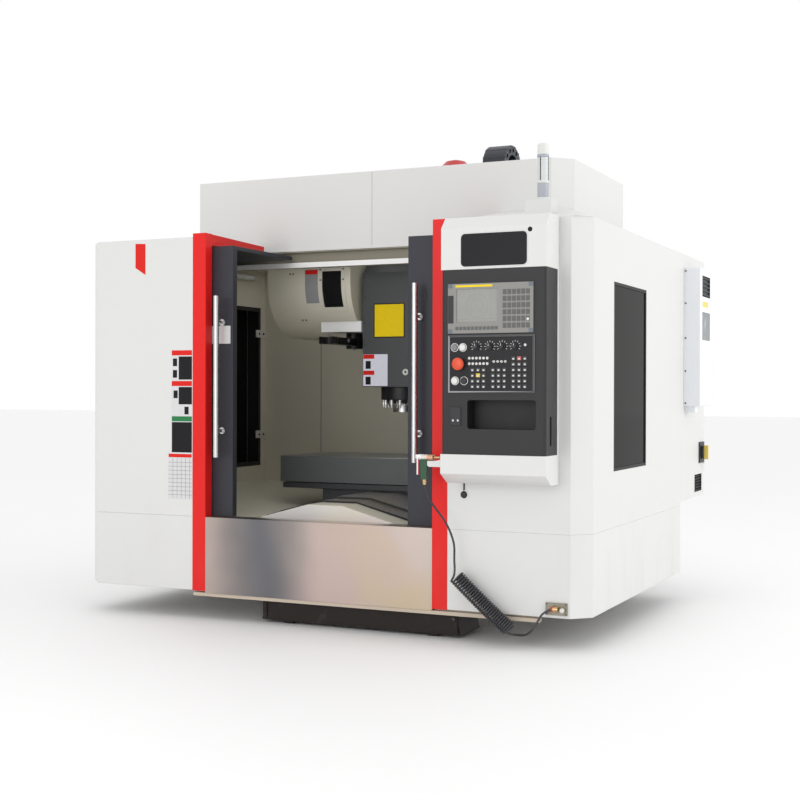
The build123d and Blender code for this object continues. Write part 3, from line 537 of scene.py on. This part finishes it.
saddle_paint = casting_paint("saddle_paint", (0.040, 0.042, 0.047), 0.40)
saddle = softened("saddle", saddle_paint, 0.003)
second_finish(saddle, ground_rail, lambda x, y, z: z > 666)
table_paint = casting_paint("table_paint", (0.095, 0.105, 0.105), 0.36)
table_iron = bright_steel("table_iron", (0.46, 0.47, 0.48), 0.26, (1, 0.03, 1))
table = softened("table", table_paint, 0.0012)
second_finish(table, table_iron, lambda x, y, z: z > 777)
for node in ("way_cover_front", "way_cover_middle", "way_cover_rear"):
    softened(node, stainless, 0.001)
way_end = [(-418, 482), (-418, 519), (-ridge, 604), (ridge, 604), (418, 519), (418, 482)]
plates("way_end", [way_end], 113, 115.5, stainless, "machine")
arch = [(-420, 490), (-420, 520), (-ridge, 606), (ridge, 606), (420, 520), (420, 490)]
lip_width = 8
for name, step, lip_y, body in (("front", 18, 430, "saddle"), ("middle", 9, 272.5, "way_cover")):
    outer = stepped(arch, step)
    inner = stepped(outer, -lip_width)
    bars = [[outer[k], outer[k + 1], inner[k + 1], inner[k]] for k in range(5)]
    plates(f"way_lip_{name}", bars, lip_y - 4, lip_y + 0.5, seal_rubber, body)


# Spindle head: a casting in dark grey paint on the column's rails, with a turned nose, a ring of coolant
# jets and the spindle motor above. Its front is screwed on, and plain fields of vinyl are stuck to it.
head_paint = casting_paint("head_paint", (0.050, 0.053, 0.055), 0.36)
head = softened("spindle_head", head_paint, 0.002)
nose_black = gloss_paint("nose_black", (0.016, 0.016, 0.018), 0.30)
second_finish(head, nose_black, lambda x, y, z: z < 1202)
plated = bright_steel("plated", (0.80, 0.80, 0.80), 0.10, (1, 1, 1))
second_finish(head, plated, lambda x, y, z: z < 1108)
second_finish(head, nose_black, lambda x, y, z: z > 1961)
painted_over("spindle", turned_steel)
nose_collar = [(94, 1203.5), (130, 1203.5), (132, 1200), (132, 1136), (128, 1130), (94, 1130)]
spindle_y = 1060
turnings("nose_collar", nose_collar, [(0, spindle_y, 0)], (0, 0, 1), nose_black, "head", 40)
jet_satin = bright_steel("jet_satin", (0.90, 0.90, 0.88), 0.42, (1, 1, 1))
jet = [(0, 0), (6, 0), (7, 12), (11, 14), (11, 30), (9, 32), (9, 46), (0, 46)]
jet_ring = 116
jet_turns = [pi * k / 7 for k in range(14)]
jets = [(jet_ring * cos(turn), spindle_y + jet_ring * sin(turn), 1088) for turn in jet_turns]
turnings("coolant_jets", jet, jets, (0, 0, 1), jet_satin, "head", 14)
yellow_film = film("yellow_film", (0.92, 0.66, 0.004))
head_front = 900
under_film = head_front + 0.2
head_plate = [((-112, head_front - 0.5, 1481), (70, under_film, 1664))]
blocks("head_plate", head_plate, yellow_film, "head", 0.0002)
plate_edge = rim((-116, head_front - 0.7, 1477), (74, under_film, 1668), 6)
blocks("head_plate_edge", plate_edge, black_film, "head", 0.0002)
notice_white = film("notice_white", (0.80, 0.80, 0.90))
head_notice = [((-181, head_front - 0.5, 1208), (-30, under_film, 1385))]
blocks("head_notice", head_notice, notice_white, "head", 0.0002)
mark_face, mark_back = head_front - 0.8, head_front - 0.3
notice_marks = [((-166, mark_face, z), (-134, mark_back, z + 44)) for z in (1304, 1216)]
blocks("head_notice_marks", notice_marks, black_film, "head", 0.0002)
notice_heads = [((-180, mark_face, z - 24), (-112, mark_back, z)) for z in (1384, 1294)]
blocks("head_notice_heads", notice_heads, red_film, "head", 0.0002)
lamp_ring = [(7, 0), (8, 4), (14, 5), (17, 3), (18, 0)]
lamp_spot = [(80, head_front, 1285)]
turnings("head_lamp_ring", lamp_ring, lamp_spot, (0, -1, 0), lamp_white, "head")
lamp_green = moulded("lamp_green", (0.02, 0.20, 0.08), 0.20)
lamp_dome = [(0, 4), (5, 3.4), (8, 0)]
turnings("head_lamp", lamp_dome, lamp_spot, (0, -1, 0), lamp_green, "head")
head_screws = [(x, head_front, z) for x in (-172, 172) for z in (1440, 1560, 1700, 1820)]
head_screws += [(x, head_front, 1240) for x in (110, 172)]
screws("head_screws", head_screws, (0, -1, 0), 5, dark_screw, "head")
motor = softened("z_motor", nose_black, 0.001)
dome_red = moulded("dome_red", (0.50, 0.014, 0.014), 0.22)
second_finish(motor, dome_red, lambda x, y, z: z > 2546)


# Cable carrier: a chain of moulded links from the column over a loop to the head, pinned at every joint.
# It rides on no body, so it keeps its place when the head moves.
carrier_black = moulded("carrier_black", (0.018, 0.021, 0.030), 0.34)
carrier = softened("cable_carrier", carrier_black, 0.002, rides=False)
carrier_left, carrier_right = 322, 457
loop_y, loop_z = 1580, 2470
hole_radius = 122.5
link_turns = [pi * (k + 0.5) / 7 for k in range(7)]
link_holes = [(loop_y - hole_radius * cos(turn), loop_z + hole_radius * sin(turn)) for turn in link_turns]
link_holes += [(loop_y + side * hole_radius, 2415 - 62 * k) for side in (-1, 1) for k in range(4)]
link_ring = [(14.2, -1), (14.2, 1.6), (18, 2), (20.5, 1.4), (21, -1)]
bosses = bmesh.new()
for hole_y, hole_z in link_holes:
    turned(bosses, link_ring, (carrier_right, hole_y, hole_z), (1, 0, 0), 18)
    turned(bosses, link_ring, (carrier_left, hole_y, hole_z), (-1, 0, 0), 18)
carrier_grey = moulded("carrier_grey", (0.07, 0.075, 0.085), 0.40)
bosses = add_piece("carrier_bosses", bosses, carrier_grey, None)
rib_radius = 148
rib_turns = [pi * k / 7 for k in range(8)]
rib_places = [(loop_y - rib_radius * cos(turn), loop_z + rib_radius * sin(turn), turn) for turn in rib_turns]
rib_places += [(loop_y + side * rib_radius, z, 0) for side in (-1, 1) for z in (2384, 2322)]
ribs = bmesh.new()
for rib_y, rib_z, turn in rib_places:
    verts = bmesh.ops.create_cube(ribs, size=1.0)["verts"]
    bmesh.ops.scale(ribs, verts=verts, vec=(0.139, 0.006, 0.012))
    bmesh.ops.rotate(ribs, verts=verts, cent=(0, 0, 0), matrix=Matrix.Rotation(-turn, 3, "X"))
    bmesh.ops.translate(ribs, verts=verts, vec=place((carrier_left + carrier_right) / 2, rib_y, rib_z))
ribs = add_piece("carrier_ribs", ribs, carrier_black, None)
for piece in (carrier, bosses, ribs):
    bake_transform(piece)


# Tool changer: a gear case on the column's side, a drum-fronted cover in beige paint with a dark sight glass,
# an alloy disc with capped tool pots, and a blackened double-ended arm.
cover_beige = powder_coat("cover_beige", (0.68, 0.645, 0.53), 0.34)
cover = softened("magazine_cover", cover_beige, 0.004)
# Painted highlight: the faces along the cover's left edge take the lighter white.
second_finish(cover, painted_light_white, lambda x, y, z: -734.7 < x < -730.5)
sight_glass = moulded("sight_glass", (0.012, 0.012, 0.013), 0.06)
drum_y, drum_z, drum_radius = 1090, 1787, 300


def in_sight(x, y, z):
    """Whether a point lies on the floor of the sight's recess, four millimetres into the cover."""
    from_axis = Vector((y - drum_y, min(0, z - drum_z))).length
    return -384 < x < -266 and 1646 < z < 1855 and 294 < from_axis < 297


second_finish(cover, sight_glass, in_sight)
# The gear case's white housing is made lighter as painted light, against the shade it stands in.
softened("atc_gearbox", painted_light_white, 0.003)


def onto_drum(name, spans, finish):
    """A piece of flat blocks, built against the cover's upright front and laid round the drum below it."""
    shape = bmesh.new()
    for low, high in spans:
        slab(shape, place(*low), place(*high), 0.0003)
    tall = [e for e in shape.edges if abs(e.verts[0].co.z - e.verts[1].co.z) > 0.03]
    bmesh.ops.subdivide_edges(shape, edges=tall, cuts=11)
    radius = drum_radius / 1000
    for v in shape.verts:
        drop = max(0.0, drum_z / 1000 - v.co.z)
        v.co.y += radius - sqrt(radius * radius - drop * drop)
    return add_piece(name, shape, finish, "machine")


frame_beige = powder_coat("frame_beige", (0.66, 0.63, 0.54), 0.30)
onto_drum("sight_frame", rim((-404, 786.5, 1629), (-240, 790.3, 1868), 20), frame_beige)
onto_drum("cover_notice", [((-494, 789.3, 1673), (-412, 790.3, 1860))], grey_film)
onto_drum("cover_notice_head", [((-492, 788.9, 1834), (-414, 789.9, 1858))], red_film)
cover_screws = [(x, 790, z) for x in (-590, -570) for z in (1840, 2080)]
cover_screws += [(x, 786.5, z) for x in (-394, -250) for z in (1858, 1800)]
screws("cover_screws", cover_screws, (0, -1, 0), 5, dark_screw, "machine")
low_screws = [(x, 870, 1583) for x in (-552, -530)]
screws("cover_low_screws", low_screws, (0, -0.733, -0.680), 5, dark_screw, "machine")
disc_alloy = bright_steel("disc_alloy", (0.66, 0.66, 0.67), 0.34, (1, 0.05, 0.05))
painted_over("magazine_disc", disc_alloy)
arm_black = gloss_paint("arm_black", (0.012, 0.012, 0.013), 0.28)
softened("change_arm", arm_black, 0.0015)
arm_stud = [(0, 9), (6, 8), (14, 3), (16, 0)]
turnings("arm_stud", arm_stud, [(-318, spindle_y, 1422)], (0, 0, -1), plated, "arm")
arm_pin = [(0, 5), (8, 4), (11, 2), (11, -1)]
arm_pins = [(-284, spindle_y + reach, 1464) for reach in (-140, 140)]
turnings("arm_pins", arm_pin, arm_pins, (1, 0, 0), jet_satin, "arm", 16)


# Electrical cabinet: a white sheet box on the machine's back, with drive units on a plate inside and a
# hinged rear door with lift latches. A louvred vent and the main switch are in its side, and an enamelled
# heat exchanger is screwed to it above them.
def exchanger_enamel(name):
    """Cool white enamel, with one plain yellow field on the outer face."""
    finish, point = start_finish(name)
    peel = noise(point, 320)
    field_middle = place(1498, 1982, 1686)
    field_half = (0.0005, 0.078, 0.016)
    offset = point.node("VectorMath", {"operation": "SUBTRACT"}, {0: point, 1: field_middle})
    field = 1.0
    for axis, half in enumerate(field_half):
        field = field * (abs(offset.node("SeparateXYZ", {}, {"Vector": offset}, out=axis)) < half)
    white = mixed(point, noise(point, 1.1, 3), (0.79, 0.81, 0.84), (0.82, 0.84, 0.87))
    sockets = {"Base Color": mixed(point, field, white, (0.78, 0.62, 0.10))}
    sockets["Roughness"] = 0.30 + 0.10 * peel
    return end_finish(finish, point, sockets, peel, 0.00012)


cabinet = softened("cabinet", panel_white, 0.0015)
vent_grey = gloss_paint("vent_grey", (0.022, 0.024, 0.026), 0.42)
second_finish(cabinet, vent_grey, lambda x, y, z: 1384 < x < 1399 and 2154 < y < 2350 and 581 < z < 686)
drive_grey = moulded("drive_grey", (0.20, 0.205, 0.21), 0.40)
second_finish(cabinet, drive_grey, lambda x, y, z: 450 < x < 1370 and 1802 < y < 2025 and 759 < z < 1701)
black_moulding = moulded("black_moulding", (0.016, 0.016, 0.019), 0.42)
second_finish(cabinet, black_moulding, lambda x, y, z: x > 1400.5 and 2260 < y < 2388.5 and abs(z - 814) < 65)
softened("cabinet_door", panel_white, 0.0015)
latch_levers = [((470, 2404.5, z - 52), (490, 2410, z + 52)) for z in (900, 1262, 1620)]
blocks("cabinet_latches", latch_levers, catch_black, "cabinet_door", 0.002)
exchanger_white = exchanger_enamel("exchanger_white")
exchanger = softened("heat_exchanger", exchanger_white, 0.0015)
second_finish(exchanger, vent_grey, lambda x, y, z: x < 1497 and 1899 < y < 2111 and 1729 < z < 1851)
grille_grey = gloss_paint("grille_grey", (0.40, 0.41, 0.42), 0.40)
second_finish(exchanger, grille_grey, lambda x, y, z: x < 1497 and 1899 < y < 2111 and 1479 < z < 1641)
exchanger_screws = [(1410, 1865, z) for z in (1115, 1300, 1490, 1690, 1876)]
screws("exchanger_screws", exchanger_screws, (0, -1, 0), 5, dark_screw, "machine")
switch_yellow = moulded("switch_yellow", (0.76, 0.58, 0.12), 0.30)
switch = softened("switch_handle", black_moulding, 0.001)
second_finish(switch, switch_yellow, lambda x, y, z: x > 1422.5)


# Console: a white folded hood and tray round a dark sheet case that hangs on the front panel.
# A plain dark field is stuck on the hood, and an outlet cover, a tool pocket and a cam lock sit below.
softened("console_shell", panel_white, 0.0025)
case_grey = powder_coat("case_grey", (0.030, 0.030, 0.032), 0.38)
case = softened("console_case", case_grey, 0.002)
pocket_black = moulded("pocket_black", (0.012, 0.012, 0.013), 0.50)
second_finish(case, pocket_black, lambda x, y, z: -179 < y < -80 and 880 < x < 1220 and 1000 < z < 1145)


def hood_outline(radius):
    """The hood field's outline, with corners of this radius round the same four centres."""
    centres = [(1152, 1870), (876, 1870), (876, 1762), (1152, 1762)]
    turns = [(x, z, radians(90 * q + 15 * k)) for q, (x, z) in enumerate(centres) for k in range(7)]
    return [(x + radius * cos(turn), z + radius * sin(turn)) for x, z, turn in turns]


hood_face = -184
field_back = hood_face + 0.2
hood_field = hood_outline(20)
plates("hood_field", [hood_field], hood_face - 1.4, field_back, black_film, "machine")
hood_edge = hood_outline(25)
plates("hood_field_edge", [hood_edge], hood_face - 0.9, field_back, white_film, "machine")
hood_dot = [(0, 1), (9, 0.8), (11, 0)]
turnings("hood_dot", hood_dot, [(1186, hood_face, 1897)], (0, -1, 0), black_film, "machine")
outlet_face = -185
outlet_cover = [((805, outlet_face, 1023), (857, -179.5, 1107))]
blocks("outlet_cover", outlet_cover, black_moulding, "machine", 0.003)
white_moulding = moulded("white_moulding", (0.72, 0.72, 0.70), 0.30)
dot = [(0, 2.6), (3, 2.2), (4.5, 1.2), (5, 0)]
outlet_dots = [(x, outlet_face, 1046) for x in (819, 843)]
turnings("outlet_dots", dot, outlet_dots, (0, -1, 0), white_moulding, "machine", 16)
lock_spot = [(800, 0, 695)]
lock_ring = [(0, 3), (17, 3), (18, 5), (22, 5), (24, 3), (24, 0)]
turnings("cam_lock", lock_ring, lock_spot, (0, -1, 0), white_moulding, "machine")
lock_face = [(0, 11), (8, 10), (14, 7), (17, 3)]
turnings("cam_lock_face", lock_face, lock_spot, (0, -1, 0), black_moulding, "machine", 18)
lock_hasp = [((797, -5, 708), (803, 0.5, 757))]
blocks("cam_lock_hasp", lock_hasp, black_moulding, "machine", 0.001)


# Control unit: a moulded silver-grey bezel on the case, with a flat screen, a field of keys beside it and
# a row of soft keys below. Its corners are capped, and a plain yellow field runs along its top.
def lit_screen(name):
    """Screen glass, faintly lit, with two rings and three rules drawn on it."""
    finish, point = start_finish(name)
    screen_middle = place(934, -184, 1565)
    offset = point.node("VectorMath", {"operation": "SUBTRACT"}, {0: point, 1: screen_middle})
    across = offset.node("SeparateXYZ", {}, {"Vector": offset}, out=0)
    rise = offset.node("SeparateXYZ", {}, {"Vector": offset}, out=2)
    from_middle = offset.node("VectorMath", {"operation": "LENGTH"}, {0: offset}, out=1)
    rings = (abs(from_middle - 0.052) < 0.0008) + (abs(from_middle - 0.030) < 0.0007)
    rules = (abs(across + 0.6 * rise) < 0.0006) + (abs(rise + 0.060) < 0.0008)
    rules = rules + (abs(across - 0.066) < 0.0006)
    drawn = ramp(point, rings + rules, 0.0, 1.0)
    glow = mixed(point, drawn, (0.29, 0.30, 0.28), (0.02, 0.02, 0.02))
    glass = mixed(point, noise(point, 12, 3), (0.15, 0.15, 0.135), (0.19, 0.19, 0.175))
    sockets = {"Base Color": glass, "Roughness": 0.10, "Emission Color": glow, "Emission Strength": 0.2}
    return end_finish(finish, point, sockets)


bezel_silver = moulded("bezel_silver", (0.24, 0.235, 0.22), 0.34)
display = softened("display_unit", bezel_silver, 0.0006)
key_dark = moulded("key_dark", (0.10, 0.10, 0.097), 0.40)
second_finish(display, key_dark, lambda x, y, z: y < -188.4)
screen = lit_screen("screen")
second_finish(display, screen, lambda x, y, z: y > -184.6 and 836 < x < 1032 and 1490 < z < 1640)
corner_blue = moulded("corner_blue", (0.13, 0.15, 0.18), 0.34)
corner_spans = [((x, -190, z), (x + 20, -187.5, z + 18)) for x in (795, 1182) for z in (1441, 1646)]
blocks("bezel_corners", corner_spans, corner_blue, "machine", 0.002)
bezel_field = [((832, -188.4, 1649), (1010, -187.8, 1658))]
blocks("bezel_field", bezel_field, yellow_film, "machine", 0.0001)
bezel_slot = [((795, -188.6, 1486), (822, -187.5, 1612))]
blocks("bezel_slot", bezel_slot, black_moulding, "machine", 0.001)
big_dot = [(r * 1.3, h) for r, h in dot]
key_spot = [(1178.5, -190, 1500)]
turnings("bezel_key", big_dot, key_spot, (0, -1, 0), white_moulding, "machine", 16)


# Operator panel: a black face in a light grey frame, with membrane keys, push buttons in plated collars,
# turned knobs over printed scales, and small toggles. Each button and knob moves on its own.
panel_face = -185
proud = panel_face - 0.3
frame_grey = moulded("frame_grey", (0.30, 0.30, 0.31), 0.40)
operator = softened("operator_panel", frame_grey, 0.0005)
face_black = film("face_black", (0.022, 0.022, 0.024))
second_finish(operator, face_black, lambda x, y, z: y > proud and 804 < x < 1200 and 1180 < z < 1424)
key_black = moulded("key_black", (0.040, 0.040, 0.042), 0.40)
second_finish(operator, key_black, lambda x, y, z: y < proud and 900 < x < 1180 and 1190 < z < 1340)
key_yellow = moulded("key_yellow", (0.70, 0.50, 0.03), 0.34)
second_finish(operator, key_yellow, lambda x, y, z: y < proud and 930 < x < 953 and 1240 < z < 1262)
key_red = moulded("key_red", (0.50, 0.09, 0.07), 0.34)
second_finish(operator, key_red, lambda x, y, z: y < proud and 1126 < x < 1149 and 1315 < z < 1336)
key_groups = [(905, 4), (1004, 4), (1101, 6)]
key_corners = [
    (x + 27 * k, 1192 + 25 * row) for x, rows in key_groups for row in range(rows) for k in range(3)
]
key_marks = [((x + 5, -188.4, z + 3), (x + 14, -187.8, z + 10)) for x, z in key_corners]
blocks("key_marks", key_marks, white_film, "machine", 0.0001)
estop_red = moulded("estop_red", (0.74, 0.075, 0.02), 0.26)
grey_moulding = moulded("grey_moulding", (0.20, 0.20, 0.205), 0.32)
painted_over("estop_button", estop_red)
painted_over("cycle_start_button", white_moulding)
painted_over("feed_hold_button", black_moulding)
painted_over("power_on_button", grey_moulding)
painted_over("power_off_button", white_moulding)
collar = [(15.4, 0), (15.4, 3), (17, 4.2), (19.5, 3), (20.5, 0)]
button_spots = [(852, 1302), (830, 1226), (874, 1226), (828, 1377), (868, 1377)]
collar_places = [(x, panel_face, z) for x, z in button_spots]
turnings("button_collars", collar, collar_places, (0, -1, 0), plated, "machine", 28)
knob_z = 1380
ticks = bmesh.new()
for knob, knob_x in (("mode_knob", 933), ("feed_knob", 998), ("rapid_knob", 1057), ("spindle_knob", 1118)):
    painted_over(knob, black_moulding)
    pointer = [((knob_x - 0.9, -207.9, knob_z + 1), (knob_x + 0.9, -207, knob_z + 12))]
    blocks(knob + "_pointer", pointer, white_moulding, knob, 0.0002)
    for k in range(9):
        verts = bmesh.ops.create_cube(ticks, size=1.0)["verts"]
        bmesh.ops.scale(ticks, verts=verts, vec=(0.0020, 0.0004, 0.008))
        bmesh.ops.translate(ticks, verts=verts, vec=(0, 0, 0.023))
        tick_turn = Matrix.Rotation(radians(30 * k - 120), 3, "Y")
        bmesh.ops.rotate(ticks, verts=verts, cent=(0, 0, 0), matrix=tick_turn)
        bmesh.ops.translate(ticks, verts=verts, vec=place(knob_x, panel_face, knob_z))
add_piece("knob_scales", ticks, white_film, "machine")
dots = [(898 + 17.4 * k, panel_face, z) for k in range(6) for z in (1303, 1328)]
dots += [(1165, panel_face, 1385)]
turnings("panel_dots", big_dot, dots, (0, -1, 0), white_moulding, "machine", 16)
toggle = [(0, 14), (2.5, 13.5), (3.2, 11), (2, 2), (5, 1.6), (6, 0)]
toggles = [(1017 + 18.3 * k, panel_face, 1312) for k in range(4)]
turnings("panel_toggles", toggle, toggles, (0, -1, 0), white_moulding, "machine", 14)


# Signal beacon: a moulded tower on a levelling block on the hip roof.
# Its clear ribbed lens stands between three dark posts, under a white cap.
beacon = softened("beacon", panel_white, 0.001)
tower_blue = moulded("tower_blue", (0.40, 0.42, 0.47), 0.30)
lens_clear = moulded("lens_clear", (0.66, 0.68, 0.69), 0.12)
second_finish(beacon, tower_blue, lambda x, y, z: 2299 < z < 2313)
second_finish(beacon, tower_blue, lambda x, y, z: 2105.5 < z < 2174)
second_finish(beacon, lens_clear, lambda x, y, z: 2188 < z < 2299)
second_finish(beacon, white_moulding, lambda x, y, z: z > 2313)
lens_rib = [(24.5, -3), (26.6, 0), (24.5, 3)]
beacon_x, beacon_y = 1080, 300
lens_ribs = [(beacon_x, beacon_y, 2198 + 11 * k) for k in range(10)]
turnings("beacon_ribs", lens_rib, lens_ribs, (0, 0, 1), lens_clear, "machine")
post_ring = 25.5
post_turns = [radians(turn) for turn in (20, 140, 260)]
post_places = [(beacon_x + post_ring * cos(turn), beacon_y + post_ring * sin(turn)) for turn in post_turns]
posts = [((x - 2, y - 2, 2186), (x + 2, y + 2, 2301)) for x, y in post_places]
blocks("beacon_posts", posts, black_moulding, "machine", 0.0006)


# Air supply: a steel plate on the skirt with a push-in coupler and a capped spare, a blow gun with a green
# grip on the console's bracket, and one polyurethane hose between them, coiled in its middle.
def smooth_hose(name):
    """Extruded hose with a high gloss, dulled a little by handling."""
    finish, point = start_finish(name)
    wear = noise(point, 11, 3)
    sockets = {"Base Color": mixed(point, wear, (0.010, 0.010, 0.014), (0.016, 0.016, 0.022))}
    sockets["Roughness"] = 0.08 + 0.10 * wear
    sockets["Specular IOR Level"] = 0.7
    return end_finish(finish, point, sockets)


port_plate = bright_steel("port_plate", (0.30, 0.28, 0.23), 0.34, (1, 1, 0.1))
port = softened("air_port", port_plate, 0.0008)
fitting_brass = bright_steel("fitting_brass", (0.66, 0.47, 0.22), 0.24, (0.1, 1, 1))
second_finish(port, fitting_brass, lambda x, y, z: y < -9)
port_ring = [(11.2, 0), (13, 1), (13, 7), (11.2, 8)]
red_moulding = moulded("red_moulding", (0.62, 0.02, 0.014), 0.26)
turnings("coupler_ring", port_ring, [(1238, -27, 194)], (1, 0, 0), red_moulding, "machine", 20)
spare_cap = [(0, 4), (5, 4), (5.5, 1), (8, 0.5), (10.5, -1), (10.5, -9), (9.2, -10)]
spare_spot = [(1287, -30, 190)]
turnings("spare_cap", spare_cap, spare_spot, (0, -1, 0), white_moulding, "machine", 20)
port_screws = [(x, -8, z) for x in (1209, 1299) for z in (170, 214)]
screws("port_screws", port_screws, (0, -1, 0), 3.5, dark_screw, "machine")
gun_green = moulded("gun_green", (0.015, 0.075, 0.035), 0.30)
gun = softened("air_gun", gun_green, 0.0012)
copper = bright_steel("copper", (0.62, 0.36, 0.22), 0.20, (0.1, 1, 1))
second_finish(gun, plated, lambda x, y, z: z > 853)
second_finish(gun, copper, lambda x, y, z: x > 662)
second_finish(gun, fitting_brass, lambda x, y, z: z < 769)
gun_sleeve = [(14.8, 0), (15.5, 0.5), (15.5, 27), (14.8, 27.5)]
turnings("gun_sleeve", gun_sleeve, [(664, -110, 871.3)], (1, 0, 0), copper, "machine", 28)
softened("air_gun_trigger", plated, 0.001)
hose_d = 0.010
hose_route = [
    (645, -110, 758), (656, -107, 698), (690, -99, 640), (732, -90, 590), (764, -81, 530), (782, -71, 464),
    (778, -68, 400), (789, -84, 345),
]
coil_route = [(785, -60, 318), (925, -60, 190), (1050, -60, 92)]
tail_route = [
    (1062, -38, 66), (1098, -46, 66), (1138, -56, 76), (1166, -50, 112), (1180, -43, 140), (1200, -33, 178),
    (1238, -27, 194),
]
coil_radius = 0.033
turn_points = 14
coil_turns = 27


def nurbs_line(name, spots):
    """A smooth open line with these control points, in metres."""
    line = bpy.data.curves.new(name, "CURVE")
    line.dimensions = "3D"
    spline = line.splines.new("NURBS")
    spline.points.add(len(spots) - 1)
    for control, spot in zip(spline.points, spots):
        control.co = (*spot, 1)
    spline.order_u = 3
    spline.use_endpoint_u = True
    return line


coil_line = nurbs_line("coil_line", [place(*spot) for spot in coil_route])
coil_line.resolution_u = (coil_turns * turn_points + turn_points // 4) // (len(coil_route) - 1)
coil_guide = bpy.data.objects.new("coil_guide", coil_line)
coil_mesh = bpy.data.meshes.new_from_object(coil_guide)
coil_middles = [v.co.copy() for v in coil_mesh.vertices]
bpy.data.objects.remove(coil_guide)
bpy.data.meshes.remove(coil_mesh)
hose_spots = [place(*spot) for spot in hose_route]
coil_front = Vector((0, -1, 0))
for k, middle in enumerate(coil_middles):
    ahead = coil_middles[min(k + 1, len(coil_middles) - 1)] - coil_middles[max(k - 1, 0)]
    coil_down = ahead.normalized().cross(coil_front)
    turn = 2 * pi * k / turn_points
    hose_spots.append(middle + coil_radius * (cos(turn) * coil_front + sin(turn) * coil_down))
hose_spots += [place(*spot) for spot in tail_route]
hose_line = nurbs_line("air_hose_line", hose_spots)
hose_line.bevel_depth = hose_d / 2
hose_line.bevel_resolution = 4
hose_line.resolution_u = 4
hose_black = smooth_hose("hose_black")
hose_line.materials.append(hose_black)
hose = bpy.data.objects.new("air_hose_line", hose_line)
bpy.context.scene.collection.objects.link(hose)
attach(hose, "machine")
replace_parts(hose, "air_hose", "air_hose_coil", "air_hose_tail")
hose_sleeve = [(6, -14), (7.6, -14), (8.8, -2), (9.2, 2), (9.2, 8)]
turnings("hose_sleeve", hose_sleeve, hose_route[:1], (0, 0, 1), fitting_brass, "machine", 20)


# Studio: a wide pale floor under a bright white surround.
# Three large soft lamps stand to the right, in front and above.
floor_finish, point = start_finish("studio_floor")
floor_tone = mixed(point, noise(point, 0.7, 3), (0.90, 0.90, 0.90), (0.92, 0.92, 0.92))
end_finish(floor_finish, point, {"Base Color": floor_tone, "Roughness": 0.6})
floor_shape = bmesh.new()
bmesh.ops.create_grid(floor_shape, x_segments=1, y_segments=1, size=60)
floor_mesh = bpy.data.meshes.new("studio_floor")
floor_shape.to_mesh(floor_mesh)
floor_shape.free()
floor_mesh.materials.append(floor_finish)
floor = bpy.data.objects.new("studio_floor", floor_mesh)
bpy.context.scene.collection.objects.link(floor)
world = bpy.data.worlds.new("studio")
bpy.context.scene.world = world
world.use_nodes = True
world.node_tree.nodes["Background"].inputs["Color"].default_value = (1.0, 1.0, 1.0, 1)
world.node_tree.nodes["Background"].inputs["Strength"].default_value = 1.0
lamps = {
    "key_lamp": ((8.5, 0.8, 3.0), (0.9, 0.2, 1.2), 4.0, 160),
    "front_lamp": ((-0.5, -7.5, 2.2), (-0.2, 0.0, 1.2), 3.0, 70),
    "top_lamp": ((0.5, 0.5, 7.0), (0.0, 0.0, 1.0), 5.0, 15),
}
for name, (spot, target, width, power) in lamps.items():
    lamp = bpy.data.lights.new(name, "AREA")
    lamp.size = width
    lamp.energy = power
    holder = bpy.data.objects.new(name, lamp)
    holder.location = spot
    holder.rotation_euler = (Vector(target) - Vector(spot)).to_track_quat("-Z", "Y").to_euler()
    bpy.context.scene.collection.objects.link(holder)
bpy.context.scene.view_settings.view_transform = "Standard"


# Camera: where the photograph was taken from, with the turns and the focal length that
# were fitted to the enclosure's straight edges.
frame_pixels = 800
focal_pixels = 1323.26
camera_spot = place(3144.9, -5734.7, 1172.7)
yaw, pitch, roll = radians(25.030), radians(-0.329), radians(0.141)
forward = Vector((-sin(yaw) * cos(pitch), cos(yaw) * cos(pitch), sin(pitch)))
level = Vector((cos(yaw), sin(yaw), 0))
upright = level.cross(forward)
camera_right = cos(roll) * level + sin(roll) * upright
camera_up = cos(roll) * upright - sin(roll) * level
lens = bpy.data.cameras.new("photo_camera")
lens.sensor_width = 36
lens.lens = lens.sensor_width * focal_pixels / frame_pixels
lens.clip_end = 300
camera = bpy.data.objects.new("photo_camera", lens)
camera_turn = Matrix((camera_right, camera_up, -forward)).transposed().to_4x4()
camera.matrix_world = Matrix.Translation(camera_spot) @ camera_turn
bpy.context.scene.collection.objects.link(camera)
bpy.context.scene.camera = camera
